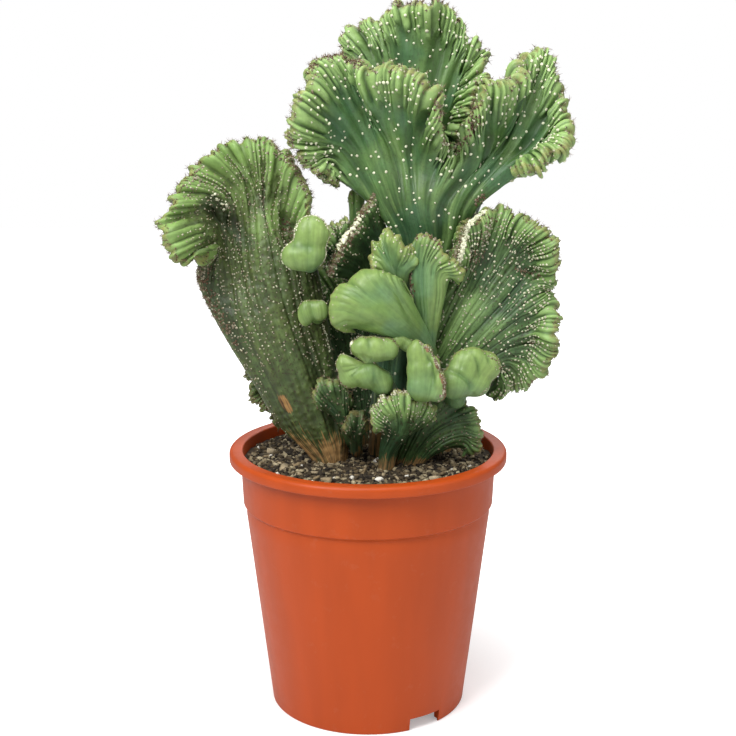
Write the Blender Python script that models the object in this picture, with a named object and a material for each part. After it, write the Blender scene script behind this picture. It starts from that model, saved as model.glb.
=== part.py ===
"""Potted blue myrtle cactus, crested form, in a moulded grower's pot.

The pot's axis is the Z axis and the pot stands on z = 0. Metres, +Z up; -Y is the front.
Every crested stem is a thick sheet: rows of points run from its root to its crown, and a smooth
surface through the rows gets a thickness that rounds off to nothing along the crown and sides.
"""

import itertools
import math

import bmesh
import bpy
import numpy as np
from mathutils import Matrix, Vector
from mathutils.bvhtree import BVHTree

# Gap between pieces that touch.
GAP = 0.0003
# Stems are cut back by a little more, because a coarse mesh's faces lie inside its vertices.
STEM_GAP = 0.00045
# A neighbour is cut away at its full growth and at part of it, because growth crosses in folds.
GROWTH_SHARES = (1.0, 0.4)
# At sharp edges growth moves a vertex further, up to this many times.
MOST_SHELL = 3.0

# Pot: outer radii and heights.
RIM_RADIUS = 0.105
RIM_TOP = 0.2006
RIM_DEPTH = 0.008
BAND_TOP_RADIUS = 0.0963
BAND_BOTTOM_RADIUS = 0.0950
SHOULDER_Z = 0.1573
SHOULDER_RISE = 0.0025
BODY_TOP_RADIUS = 0.09345
FOOT_RADIUS = 0.0746
WALL = 0.0016
RIM_ROUND = 0.0030
FLOOR_Z = 0.0105
POT_SEGMENTS = 40

# Foot notches, opposite each other, and the drain holes in the raised floor.
NOTCH_ANGLES = (-55.3, 124.7)
NOTCH_WIDTH = 0.027
NOTCH_CHEEK = 0.0055
DRAIN_HOLES = 6
DRAIN_RADIUS = 0.006
DRAIN_RING = 0.052

# Soil: height of its top.
SOIL_TOP = 0.1925
SOIL_SEGMENTS = 36
ROOT_Z = 0.172

# Crest sheets: grid steps along the crown for each metre of it, and steps from root to crown.
STEPS_PER_METRE = 60
ROUNDING_STEPS = (0.15, 0.55)
# Where along its width a sheet's height is measured.
KNOT_COLUMNS = (0.1, 0.3, 0.5, 0.7, 0.9)
# A sheet that folds back on itself is slimmed, down to a least half thickness, to stay clear.
FOLD_REACH = 0.010
FOLD_RATIO = 0.75
FOLD_SHARE = 0.42
SLIMMEST = 0.0015

# Crested stems, from the first one kept whole to the last one cut to fit round the others.
# thickness: at the root, half way up and at the crown. rows: root first, crown last.
STEMS = {
    "top_front_crest": {
        "thickness": (0.026, 0.019, 0.0125),
        "rows": [
            [(0.002, 0.010, ROOT_Z), (0.028, 0.012, ROOT_Z)],
            [(0.000, 0.008, 0.192), (0.030, 0.012, 0.190)],
            [(0.002, 0.010, 0.234), (0.031, 0.014, 0.233)],
            [(0.006, 0.014, 0.276), (0.038, 0.016, 0.276)],
            [(0.014, 0.012, 0.318), (0.054, 0.014, 0.318)],
            [(0.019, 0.006, 0.357), (0.046, 0.000, 0.358), (0.074, 0.006, 0.357)],
            [(0.002, 0.002, 0.383), (0.024, -0.006, 0.386), (0.046, -0.010, 0.386),
             (0.066, -0.006, 0.386), (0.086, 0.002, 0.389)],
            [(-0.030, -0.010, 0.407), (-0.022, -0.006, 0.425), (0.006, 0.000, 0.432),
             (0.030, -0.004, 0.424), (0.046, -0.008, 0.415), (0.059, -0.008, 0.414),
             (0.073, -0.006, 0.416), (0.088, 0.000, 0.424), (0.110, 0.000, 0.428),
             (0.125, -0.006, 0.422), (0.107, -0.008, 0.408)],
            [(-0.020, -0.006, 0.397), (-0.046, -0.022, 0.416), (-0.056, -0.034, 0.440),
             (-0.048, -0.040, 0.459), (-0.037, -0.020, 0.484), (-0.020, 0.004, 0.488),
             (-0.004, -0.016, 0.482), (0.018, -0.040, 0.482), (0.037, -0.050, 0.476),
             (0.048, -0.054, 0.462), (0.047, -0.046, 0.447), (0.051, -0.016, 0.431),
             (0.063, -0.004, 0.425), (0.072, -0.016, 0.432), (0.075, -0.036, 0.455),
             (0.086, -0.040, 0.473), (0.102, -0.022, 0.471), (0.112, 0.004, 0.489),
             (0.129, 0.012, 0.494), (0.139, 0.004, 0.468), (0.145, -0.014, 0.439),
             (0.134, -0.034, 0.424), (0.118, -0.030, 0.415), (0.102, -0.012, 0.407)],
        ],
    },
    "left_crest": {
        "thickness": (0.026, 0.017, 0.0125),
        "rows": [
            [(-0.041, -0.008, ROOT_Z), (-0.018, -0.006, ROOT_Z)],
            [(-0.042, -0.008, 0.193), (-0.016, -0.006, 0.192)],
            [(-0.065, -0.004, 0.218), (-0.038, -0.010, 0.219), (-0.015, 0.000, 0.217)],
            [(-0.085, -0.002, 0.253), (-0.053, -0.012, 0.255), (-0.024, 0.004, 0.251)],
            [(-0.112, 0.000, 0.298), (-0.069, -0.012, 0.300), (-0.031, 0.006, 0.297)],
            [(-0.125, 0.000, 0.329), (-0.095, 0.004, 0.338), (-0.073, -0.006, 0.342),
             (-0.052, -0.002, 0.334), (-0.038, 0.008, 0.328)],
            [(-0.113, -0.010, 0.346), (-0.119, -0.020, 0.360), (-0.118, -0.016, 0.378),
             (-0.104, 0.004, 0.392), (-0.086, 0.010, 0.398), (-0.068, 0.004, 0.392),
             (-0.058, -0.002, 0.374), (-0.048, 0.004, 0.356), (-0.039, 0.010, 0.344)],
            [(-0.115, -0.024, 0.351), (-0.128, -0.040, 0.347), (-0.144, -0.048, 0.361),
             (-0.142, -0.036, 0.383), (-0.129, -0.010, 0.408), (-0.106, 0.010, 0.426),
             (-0.079, 0.012, 0.431), (-0.058, -0.002, 0.419), (-0.046, -0.014, 0.398),
             (-0.042, -0.012, 0.377), (-0.036, 0.004, 0.354)],
        ],
    },
    "right_crest": {
        "thickness": (0.024, 0.018, 0.0125),
        "rows": [
            [(0.040, 0.016, ROOT_Z), (0.062, 0.016, ROOT_Z)],
            [(0.039, 0.016, 0.191), (0.064, 0.016, 0.191)],
            [(0.038, 0.014, 0.227), (0.064, 0.016, 0.225)],
            [(0.040, 0.006, 0.262), (0.056, 0.002, 0.262), (0.071, 0.010, 0.246)],
            [(0.048, 0.000, 0.293), (0.066, -0.006, 0.290), (0.080, -0.006, 0.274),
             (0.086, 0.004, 0.253)],
            [(0.056, 0.000, 0.319), (0.078, -0.004, 0.323), (0.096, -0.010, 0.310),
             (0.104, -0.008, 0.286), (0.100, 0.002, 0.256)],
            [(0.061, -0.006, 0.340), (0.082, 0.002, 0.358), (0.104, -0.004, 0.357),
             (0.122, -0.004, 0.340), (0.122, -0.010, 0.318), (0.125, -0.010, 0.292),
             (0.116, -0.004, 0.264), (0.096, 0.004, 0.247)],
            [(0.060, -0.020, 0.349), (0.069, -0.004, 0.366), (0.082, 0.010, 0.378),
             (0.099, 0.002, 0.382), (0.119, -0.016, 0.374), (0.135, -0.026, 0.358),
             (0.138, -0.014, 0.339), (0.135, 0.004, 0.321), (0.139, -0.020, 0.305),
             (0.136, -0.022, 0.277), (0.125, -0.004, 0.252), (0.105, 0.010, 0.239),
             (0.088, 0.018, 0.238)],
        ],
    },
    "top_rear_crest": {
        "thickness": (0.022, 0.017, 0.0125),
        "rows": [
            [(0.034, 0.008, 0.345), (0.062, 0.008, 0.345)],
            [(0.034, 0.026, 0.374), (0.064, 0.026, 0.374)],
            [(0.024, 0.036, 0.404), (0.046, 0.032, 0.410), (0.068, 0.032, 0.405)],
            [(0.004, 0.044, 0.440), (0.022, 0.036, 0.456), (0.045, 0.026, 0.455),
             (0.064, 0.030, 0.444), (0.070, 0.034, 0.424)],
            [(-0.002, 0.050, 0.460), (-0.004, 0.048, 0.486), (0.014, 0.036, 0.496),
             (0.036, 0.024, 0.500), (0.058, 0.026, 0.497), (0.070, 0.028, 0.478),
             (0.068, 0.026, 0.452), (0.064, 0.030, 0.428)],
            [(-0.007, 0.066, 0.458), (-0.019, 0.064, 0.480), (-0.019, 0.056, 0.500),
             (-0.008, 0.046, 0.514), (0.006, 0.040, 0.514), (0.017, 0.026, 0.523),
             (0.040, 0.010, 0.527), (0.056, 0.018, 0.526), (0.070, 0.034, 0.507),
             (0.085, 0.030, 0.494), (0.086, 0.020, 0.476), (0.077, 0.014, 0.460),
             (0.074, 0.016, 0.444), (0.070, 0.024, 0.424)],
        ],
    },
    "lower_right_fan": {
        "thickness": (0.020, 0.014, 0.011),
        "rows": [
            [(0.016, -0.014, ROOT_Z), (0.036, -0.012, ROOT_Z)],
            [(0.016, -0.016, 0.193), (0.042, -0.014, 0.191)],
            [(0.024, -0.020, 0.213), (0.042, -0.024, 0.219), (0.060, -0.022, 0.205)],
            [(0.036, -0.014, 0.232), (0.053, -0.022, 0.235), (0.069, -0.024, 0.223),
             (0.072, -0.022, 0.204)],
            [(0.036, -0.010, 0.244), (0.052, -0.014, 0.250), (0.068, -0.020, 0.246),
             (0.080, -0.026, 0.232), (0.085, -0.026, 0.217), (0.081, -0.024, 0.204),
             (0.070, -0.020, 0.197)],
        ],
    },
    "middle_fan": {
        "thickness": (0.016, 0.012, 0.009),
        "rows": [
            [(0.042, -0.006, 0.256), (0.056, -0.006, 0.258)],
            [(0.038, -0.018, 0.284), (0.056, -0.018, 0.286)],
            [(0.032, -0.022, 0.316), (0.045, -0.024, 0.320), (0.060, -0.020, 0.313)],
            [(0.030, -0.020, 0.342), (0.043, -0.026, 0.348), (0.060, -0.022, 0.334)],
            [(0.028, -0.018, 0.352), (0.034, -0.024, 0.362), (0.043, -0.028, 0.364),
             (0.051, -0.026, 0.357), (0.062, -0.026, 0.346), (0.068, -0.022, 0.332)],
        ],
    },
    "centre_pad": {
        "thickness": (0.016, 0.016, 0.012),
        "rows": [
            [(0.040, -0.012, 0.266), (0.050, -0.012, 0.280)],
            [(0.030, -0.026, 0.284), (0.040, -0.030, 0.302)],
            [(0.010, -0.038, 0.294), (0.014, -0.046, 0.312), (0.028, -0.036, 0.318)],
            [(-0.010, -0.042, 0.298), (-0.015, -0.050, 0.316), (-0.008, -0.048, 0.330),
             (0.008, -0.044, 0.336), (0.024, -0.036, 0.325)],
            [(-0.012, -0.038, 0.292), (-0.025, -0.042, 0.302), (-0.030, -0.044, 0.320),
             (-0.022, -0.044, 0.336), (-0.004, -0.040, 0.343), (0.016, -0.036, 0.338),
             (0.028, -0.032, 0.326), (0.036, -0.030, 0.312)],
        ],
    },
    "edge_fan": {
        "thickness": (0.016, 0.012, 0.010),
        "rows": [
            [(0.002, 0.006, 0.289), (0.020, 0.010, 0.288)],
            [(-0.004, 0.000, 0.316), (0.014, 0.010, 0.319)],
            [(-0.012, -0.010, 0.334), (-0.004, -0.002, 0.352), (0.012, 0.010, 0.358)],
            [(-0.022, -0.020, 0.340), (-0.016, -0.016, 0.357), (-0.006, -0.010, 0.372),
             (0.002, 0.000, 0.386), (0.010, 0.008, 0.388)],
        ],
    },
    "curled_knob": {
        "thickness": (0.012, 0.012, 0.011),
        "rows": [
            [(-0.010, 0.004, 0.318), (0.000, 0.006, 0.320)],
            [(-0.024, 0.004, 0.336), (-0.014, 0.006, 0.344)],
            [(-0.034, 0.000, 0.340), (-0.032, -0.002, 0.354), (-0.020, 0.000, 0.364),
             (-0.012, 0.004, 0.356)],
            [(-0.034, -0.004, 0.336), (-0.038, -0.006, 0.350), (-0.030, -0.006, 0.362),
             (-0.017, -0.002, 0.372), (-0.008, 0.002, 0.364)],
        ],
    },
    "small_upper_crest": {
        "thickness": (0.016, 0.012, 0.009),
        "rows": [
            [(0.018, 0.000, 0.304), (0.031, 0.000, 0.305)],
            [(0.013, -0.016, 0.326), (0.029, -0.016, 0.326)],
            [(0.006, -0.024, 0.342), (0.018, -0.030, 0.347), (0.031, -0.024, 0.340)],
            [(0.001, -0.022, 0.345), (0.003, -0.026, 0.359), (0.012, -0.028, 0.368),
             (0.025, -0.028, 0.366), (0.035, -0.026, 0.354), (0.036, -0.022, 0.340)],
        ],
    },
    "round_pad": {
        "thickness": (0.014, 0.014, 0.012),
        "rows": [
            [(-0.046, -0.002, 0.312), (-0.038, 0.000, 0.322)],
            [(-0.040, -0.024, 0.334), (-0.030, -0.022, 0.344)],
            [(-0.051, -0.034, 0.343), (-0.049, -0.040, 0.358), (-0.038, -0.034, 0.364)],
            [(-0.047, -0.032, 0.335), (-0.060, -0.034, 0.344), (-0.063, -0.036, 0.360),
             (-0.054, -0.036, 0.376), (-0.041, -0.032, 0.381), (-0.032, -0.030, 0.372),
             (-0.029, -0.028, 0.360)],
        ],
    },
    "narrow_sprig": {
        "thickness": (0.010, 0.009, 0.008),
        "rows": [
            [(0.012, 0.014, 0.300), (0.024, 0.014, 0.300)],
            [(-0.004, 0.018, 0.326), (0.007, 0.020, 0.328)],
            [(-0.013, 0.018, 0.352), (-0.002, 0.020, 0.352)],
            [(-0.014, 0.014, 0.380), (-0.003, 0.016, 0.380)],
            [(-0.015, 0.010, 0.388), (-0.009, 0.010, 0.397), (-0.002, 0.012, 0.388)],
        ],
    },
    "low_ribbed_crest": {
        "thickness": (0.017, 0.014, 0.012),
        "rows": [
            [(0.006, -0.030, ROOT_Z), (0.018, -0.030, ROOT_Z)],
            [(0.008, -0.032, 0.206), (0.022, -0.032, 0.206)],
            [(0.008, -0.038, 0.224), (0.025, -0.042, 0.230), (0.040, -0.036, 0.226)],
            [(0.004, -0.042, 0.222), (0.004, -0.046, 0.235), (0.014, -0.050, 0.243),
             (0.034, -0.048, 0.245), (0.046, -0.042, 0.237), (0.048, -0.036, 0.226)],
        ],
    },
    "lobed_pad": {
        "thickness": (0.016, 0.015, 0.013),
        "rows": [
            [(0.008, 0.008, 0.224), (0.022, 0.008, 0.224)],
            [(0.006, -0.014, 0.230), (0.021, -0.014, 0.230)],
            [(0.004, -0.032, 0.246), (0.020, -0.032, 0.246)],
            [(-0.005, -0.044, 0.260), (0.006, -0.046, 0.265), (0.019, -0.040, 0.263)],
            [(-0.012, -0.044, 0.254), (-0.023, -0.048, 0.264), (-0.022, -0.050, 0.279),
             (-0.012, -0.044, 0.281), (-0.009, -0.050, 0.291), (0.006, -0.052, 0.295),
             (0.020, -0.048, 0.290), (0.026, -0.042, 0.279), (0.023, -0.038, 0.268)],
        ],
    },
    "low_bud": {
        "thickness": (0.009, 0.009, 0.009),
        "rows": [
            [(0.020, -0.026, 0.262), (0.029, -0.024, 0.262)],
            [(0.023, -0.034, 0.278), (0.032, -0.032, 0.278)],
            [(0.022, -0.036, 0.286), (0.028, -0.038, 0.292), (0.034, -0.034, 0.284)],
        ],
    },
    "scarred_pad": {
        "thickness": (0.014, 0.016, 0.014),
        "rows": [
            [(0.030, -0.022, 0.222), (0.043, -0.022, 0.220)],
            [(0.029, -0.042, 0.248), (0.041, -0.040, 0.244)],
            [(0.028, -0.052, 0.268), (0.040, -0.056, 0.266), (0.048, -0.050, 0.252)],
            [(0.029, -0.052, 0.282), (0.036, -0.056, 0.289), (0.047, -0.060, 0.277),
             (0.056, -0.058, 0.258), (0.054, -0.052, 0.246), (0.045, -0.046, 0.242)],
        ],
    },
    "right_pad": {
        "thickness": (0.014, 0.016, 0.013),
        "rows": [
            [(0.058, -0.012, 0.228), (0.068, -0.012, 0.226)],
            [(0.058, -0.034, 0.252), (0.070, -0.034, 0.249)],
            [(0.062, -0.042, 0.268), (0.075, -0.046, 0.271), (0.082, -0.038, 0.258)],
            [(0.055, -0.038, 0.266), (0.062, -0.042, 0.280), (0.077, -0.044, 0.286),
             (0.095, -0.038, 0.280), (0.098, -0.034, 0.268), (0.088, -0.034, 0.252),
             (0.074, -0.034, 0.243)],
        ],
    },
    "low_left_lobe": {
        "thickness": (0.014, 0.013, 0.012),
        "rows": [
            [(-0.016, -0.012, 0.205), (-0.006, -0.010, 0.205)],
            [(-0.024, -0.024, 0.229), (-0.012, -0.024, 0.231)],
            [(-0.038, -0.030, 0.240), (-0.041, -0.032, 0.252), (-0.030, -0.034, 0.261),
             (-0.017, -0.032, 0.256), (-0.011, -0.028, 0.243)],
        ],
    },
    "low_left_knob": {
        "thickness": (0.011, 0.012, 0.011),
        "rows": [
            [(-0.014, -0.012, 0.200), (-0.004, -0.012, 0.200)],
            [(-0.014, -0.026, 0.214), (-0.004, -0.026, 0.214)],
            [(-0.019, -0.034, 0.222), (-0.014, -0.036, 0.234), (-0.003, -0.036, 0.235),
             (0.000, -0.034, 0.222)],
        ],
    },
    "left_stub": {
        "thickness": (0.012, 0.012, 0.011),
        "rows": [
            [(-0.040, 0.000, 0.290), (-0.040, 0.000, 0.302)],
            [(-0.034, -0.020, 0.296), (-0.034, -0.020, 0.308)],
            [(-0.044, -0.026, 0.298), (-0.049, -0.028, 0.306), (-0.046, -0.028, 0.315),
             (-0.038, -0.026, 0.315)],
        ],
    },
    "margin_bud": {
        "thickness": (0.011, 0.011, 0.010),
        "rows": [
            [(-0.066, 0.000, 0.246), (-0.066, 0.000, 0.258)],
            [(-0.080, 0.006, 0.240), (-0.082, 0.006, 0.252)],
            [(-0.078, 0.008, 0.232), (-0.088, 0.010, 0.238), (-0.092, 0.010, 0.250),
             (-0.090, 0.008, 0.260)],
        ],
    },
    "back_fan": {
        "thickness": (0.022, 0.016, 0.012),
        "rows": [
            [(-0.012, 0.034, ROOT_Z), (0.010, 0.034, ROOT_Z)],
            [(-0.014, 0.034, 0.192), (0.010, 0.036, 0.192)],
            [(-0.022, 0.042, 0.226), (0.010, 0.046, 0.226)],
            [(-0.040, 0.046, 0.262), (-0.012, 0.056, 0.270), (0.014, 0.052, 0.264)],
            [(-0.054, 0.046, 0.286), (-0.034, 0.060, 0.302), (-0.006, 0.066, 0.306),
             (0.018, 0.060, 0.296), (0.026, 0.052, 0.276)],
            [(-0.058, 0.044, 0.278), (-0.064, 0.048, 0.298), (-0.052, 0.060, 0.318),
             (-0.030, 0.074, 0.328), (-0.010, 0.072, 0.322), (0.010, 0.066, 0.326),
             (0.030, 0.062, 0.310), (0.034, 0.056, 0.286), (0.026, 0.050, 0.270)],
        ],
    },
    "back_left_pad": {
        "thickness": (0.015, 0.015, 0.012),
        "rows": [
            [(-0.062, 0.000, 0.276), (-0.046, 0.000, 0.276)],
            [(-0.068, 0.022, 0.300), (-0.048, 0.024, 0.300)],
            [(-0.078, 0.034, 0.318), (-0.058, 0.042, 0.326), (-0.042, 0.034, 0.316)],
            [(-0.086, 0.034, 0.320), (-0.084, 0.040, 0.338), (-0.066, 0.050, 0.350),
             (-0.044, 0.044, 0.344), (-0.034, 0.036, 0.326), (-0.036, 0.032, 0.312)],
        ],
    },
    "back_right_pad": {
        "thickness": (0.015, 0.015, 0.012),
        "rows": [
            [(0.050, 0.014, 0.244), (0.064, 0.014, 0.242)],
            [(0.056, 0.038, 0.262), (0.072, 0.036, 0.258)],
            [(0.060, 0.050, 0.280), (0.078, 0.054, 0.284), (0.088, 0.044, 0.270)],
            [(0.054, 0.050, 0.284), (0.062, 0.058, 0.302), (0.080, 0.062, 0.308),
             (0.098, 0.054, 0.296), (0.102, 0.044, 0.276), (0.094, 0.040, 0.262)],
        ],
    },
    "back_neck_bud": {
        "thickness": (0.013, 0.013, 0.011),
        "rows": [
            [(0.030, 0.014, 0.298), (0.044, 0.014, 0.298)],
            [(0.028, 0.032, 0.320), (0.044, 0.032, 0.320)],
            [(0.022, 0.038, 0.326), (0.026, 0.044, 0.342), (0.042, 0.046, 0.346),
             (0.052, 0.042, 0.332)],
        ],
    },
    "back_low_crest": {
        "thickness": (0.016, 0.015, 0.012),
        "rows": [
            [(0.030, 0.044, ROOT_Z), (0.044, 0.044, ROOT_Z)],
            [(0.030, 0.046, 0.192), (0.046, 0.046, 0.192)],
            [(0.028, 0.054, 0.212), (0.050, 0.056, 0.212)],
            [(0.018, 0.058, 0.214), (0.022, 0.062, 0.232), (0.038, 0.068, 0.240),
             (0.054, 0.064, 0.234), (0.062, 0.058, 0.216)],
        ],
    },
}

# Loose grit lying in the top of the soil: name, place on the soil, half sizes and turn.
GRIT_RISE = 0.0005
GRIT = [
    ("bark_chip_1", (-0.062, -0.034), (0.0060, 0.0028, 0.0020), 20),
    ("bark_chip_2", (-0.074, 0.012), (0.0050, 0.0026, 0.0018), 75),
    ("bark_chip_3", (-0.030, -0.062), (0.0065, 0.0026, 0.0018), -15),
    ("bark_chip_4", (0.048, -0.058), (0.0055, 0.0030, 0.0020), 40),
    ("bark_chip_5", (-0.006, -0.078), (0.0048, 0.0028, 0.0018), 5),
    ("bark_chip_6", (-0.040, 0.064), (0.0060, 0.0028, 0.0020), -40),
    ("perlite_grain_1", (-0.040, -0.070), (0.0024, 0.0022, 0.0020), 0),
    ("perlite_grain_2", (0.008, -0.060), (0.0040, 0.0024, 0.0020), 30),
    ("perlite_grain_3", (-0.066, -0.050), (0.0022, 0.0020, 0.0018), 50),
    ("perlite_grain_4", (0.070, 0.042), (0.0024, 0.0022, 0.0020), 10),
]

TERRACOTTA_PLASTIC = "be532b"
SOIL_COLOUR = "463c32"
STEM_GREEN = "5c8a4c"
PAD_GREEN = "84aa5c"
BARK_COLOUR = "8a6f4e"
PERLITE_COLOUR = "dcd7cd"


def linear(hex_colour):
    """sRGB hex to linear RGBA."""
    channels = [int(hex_colour[i:i + 2], 16) / 255 for i in (0, 2, 4)]
    return [c / 12.92 if c <= 0.04045 else ((c + 0.055) / 1.055) ** 2.4 for c in channels] + [1.0]


def material(name, hex_colour, roughness):
    """A plain Principled material."""
    made = bpy.data.materials.new(name)
    made.use_nodes = True
    shader = made.node_tree.nodes["Principled BSDF"]
    shader.inputs["Base Color"].default_value = linear(hex_colour)
    shader.inputs["Roughness"].default_value = roughness
    shader.inputs["Metallic"].default_value = 0.0
    return made


def add_object(name, bm, look):
    """Turn a bmesh into an object in the scene."""
    mesh = bpy.data.meshes.new(name)
    bm.to_mesh(mesh)
    bm.free()
    mesh.materials.append(look)
    mesh.shade_smooth()
    mesh.set_sharp_from_angle(angle=math.radians(40))
    made = bpy.data.objects.new(name, mesh)
    bpy.context.scene.collection.objects.link(made)
    return made


def add_cutter(name, bm):
    """An object that only cuts others."""
    mesh = bpy.data.meshes.new(name)
    bm.to_mesh(mesh)
    bm.free()
    made = bpy.data.objects.new(name, mesh)
    made.hide_render = True
    made.display_type = "WIRE"
    bpy.context.scene.collection.objects.link(made)
    return made


def boolean(target, tool, operation="DIFFERENCE", solver="EXACT"):
    """Add a Boolean to the target."""
    step = target.modifiers.new(operation.lower() + "_" + tool.name, "BOOLEAN")
    step.operation = operation
    step.solver = solver
    step.object = tool


def chord_knots(points):
    """Distance walked from the first point to each of them."""
    knots = [0.0]
    for a, b in zip(points, points[1:]):
        knots.append(knots[-1] + max((b - a).length, 1e-6))
    return knots


def curve_through(points, knots=None):
    """Smooth curve through the points, as a function of 0 to 1 along the knots."""
    points = [Vector(p) for p in points]
    knots = knots or chord_knots(points)
    last = len(points) - 1
    slopes = []
    for i in range(last + 1):
        low, high = max(i - 1, 0), min(i + 1, last)
        slopes.append((points[high] - points[low]) / (knots[high] - knots[low]))

    def at(t):
        s = min(max(t, 0.0), 1.0) * knots[-1]
        i = 0
        while i < last - 1 and knots[i + 1] < s:
            i += 1
        span = knots[i + 1] - knots[i]
        x = (s - knots[i]) / span
        start = points[i] * (2 * x**3 - 3 * x**2 + 1) + slopes[i] * span * (x**3 - 2 * x**2 + x)
        end = points[i + 1] * (3 * x**2 - 2 * x**3) + slopes[i + 1] * span * (x**3 - x**2)
        return start + end

    return at, knots[-1]


def spaced(count, edge_first, edge_last):
    """Values 0 to 1, evenly spaced between bands that round off at either end."""
    first = [edge_first * step for step in ROUNDING_STEPS] if edge_first else []
    last = [1 - edge_last * step for step in reversed(ROUNDING_STEPS)]
    low = first[-1] if first else 0.0
    inner = [low + (last[0] - low) * i / count for i in range(1, count)]
    return [0.0] + first + inner + last + [1.0]


def rounding(distance, reach):
    """How much of the thickness is left at a distance from an edge that rounds off."""
    x = 1 - min(distance / reach, 1.0)
    return math.sqrt(max(1 - x * x, 0.0))


def fold_limit(middle):
    """The half thickness that keeps a folded sheet clear of itself, at each grid point."""
    limit = np.ones(middle.shape[:2])
    for row, allowed in zip(middle, limit):
        steps = np.linalg.norm(np.diff(row, axis=0), axis=1)
        walked = np.concatenate([[0.0], np.cumsum(steps)])
        walked = np.abs(walked[:, None] - walked[None])
        straight = np.linalg.norm(row[:, None] - row[None], axis=2)
        folded = (walked > FOLD_REACH) & (straight < FOLD_RATIO * walked)
        allowed[:] = np.where(folded, FOLD_SHARE * straight, 1.0).min(axis=1)
    return limit


def crest_bmesh(rows, thickness):
    """The closed thick sheet through the rows."""
    curves = [curve_through(row) for row in rows]
    crown_length = curves[-1][1]
    across = max(4, round(crown_length * STEPS_PER_METRE))
    sampled = [chord_knots([at(u) for at, _ in curves]) for u in KNOT_COLUMNS]
    knots = [sum(column) / len(sampled) for column in zip(*sampled)]
    height = knots[-1]
    upward = max(4, round(height * STEPS_PER_METRE * 0.45))
    crown_half = thickness[2] / 2
    v_values = spaced(upward, 0, min(crown_half / height, 0.3))
    n_v = len(v_values) - 1
    n_u = across + 2 * len(ROUNDING_STEPS)

    def half_thickness(v):
        lower, upper = (thickness[0], thickness[1]) if v < 0.5 else (thickness[1], thickness[2])
        x = v * 2 if v < 0.5 else v * 2 - 1
        return (lower + (upper - lower) * x) / 2

    lengths = [length for _, length in curves]
    middle = np.zeros((n_v + 1, n_u + 1, 3))
    half = np.zeros((n_v + 1, n_u + 1))
    columns = {}
    for j, v in enumerate(v_values):
        reach = min(half_thickness(v) / float(np.interp(v * height, knots, lengths)), 0.45)
        for i, u in enumerate(spaced(across, reach, reach)):
            key = round(u, 4)
            if key not in columns:
                columns[key] = curve_through([at(key) for at, _ in curves], knots)[0]
            middle[j, i] = columns[key](v)
            half[j, i] = half_thickness(v) * rounding(min(u, 1 - u), reach)

    to_crown = np.linalg.norm(np.diff(middle[::-1], axis=0), axis=2).cumsum(axis=0)[::-1]
    for j, i in itertools.product(range(n_v + 1), range(n_u + 1)):
        half[j, i] *= rounding(to_crown[j, i] if j < n_v else 0.0, crown_half)
    limit = fold_limit(middle)
    half = np.minimum(half, np.maximum(limit, SLIMMEST))
    along_u = np.gradient(middle, axis=1)
    along_v = np.gradient(middle, axis=0)
    normal = np.cross(along_u, along_v)
    normal /= np.linalg.norm(normal, axis=2, keepdims=True) + 1e-12
    for _ in range(3):
        padded = np.pad(normal, ((1, 1), (1, 1), (0, 0)), mode="edge")
        normal = padded[1:-1, 1:-1] + 0.5 * (padded[1:-1, :-2] + padded[1:-1, 2:])
        normal += 0.5 * (padded[:-2, 1:-1] + padded[2:, 1:-1])
        normal /= np.linalg.norm(normal, axis=2, keepdims=True) + 1e-12

    # The crown's two end points join their neighbours, so that no face is doubled there.
    middle[n_v, 0] = middle[n_v, 1]
    middle[n_v, n_u] = middle[n_v, n_u - 1]

    bm = bmesh.new()
    bmesh.ops.create_grid(bm, x_segments=n_u, y_segments=n_v, size=1)
    front = list(bm.verts)
    places = [(round((v.co.y + 1) / 2 * n_v), round((v.co.x + 1) / 2 * n_u)) for v in front]
    copy = bmesh.ops.duplicate(bm, geom=bm.verts[:] + bm.edges[:] + bm.faces[:])
    twins = copy["vert_map"]
    back_faces = [item for item in copy["geom"] if isinstance(item, bmesh.types.BMFace)]
    for vertex, (j, i) in zip(front, places):
        offset = normal[j, i] * half[j, i]
        twins[vertex].co = middle[j, i] - offset
        vertex.co = middle[j, i] + offset
    bmesh.ops.reverse_faces(bm, faces=back_faces)
    bmesh.ops.remove_doubles(bm, verts=bm.verts[:], dist=1e-6)
    bmesh.ops.dissolve_degenerate(bm, edges=bm.edges[:], dist=1e-5)
    open_edges = [edge for edge in bm.edges if edge.is_boundary]
    bmesh.ops.holes_fill(bm, edges=open_edges, sides=0)
    bmesh.ops.recalc_face_normals(bm, faces=bm.faces[:])
    bmesh.ops.triangulate(bm, faces=bm.faces[:])
    if bm.calc_volume(signed=True) < 0:
        bmesh.ops.reverse_faces(bm, faces=bm.faces[:])
    return bm


def grown(source, distance):
    """A copy of an object's mesh, with every vertex moved outwards."""
    bm = bmesh.new()
    bm.from_mesh(source.data)
    bm.normal_update()
    moves = [vertex.normal * min(vertex.calc_shell_factor(), MOST_SHELL) for vertex in bm.verts]
    for vertex, move in zip(bm.verts, moves):
        vertex.co += move * distance
    return bm


def overlaps(first, second):
    """Whether the surfaces of two bmeshes cross."""
    return bool(BVHTree.FromBMesh(first).overlap(BVHTree.FromBMesh(second)))


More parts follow.
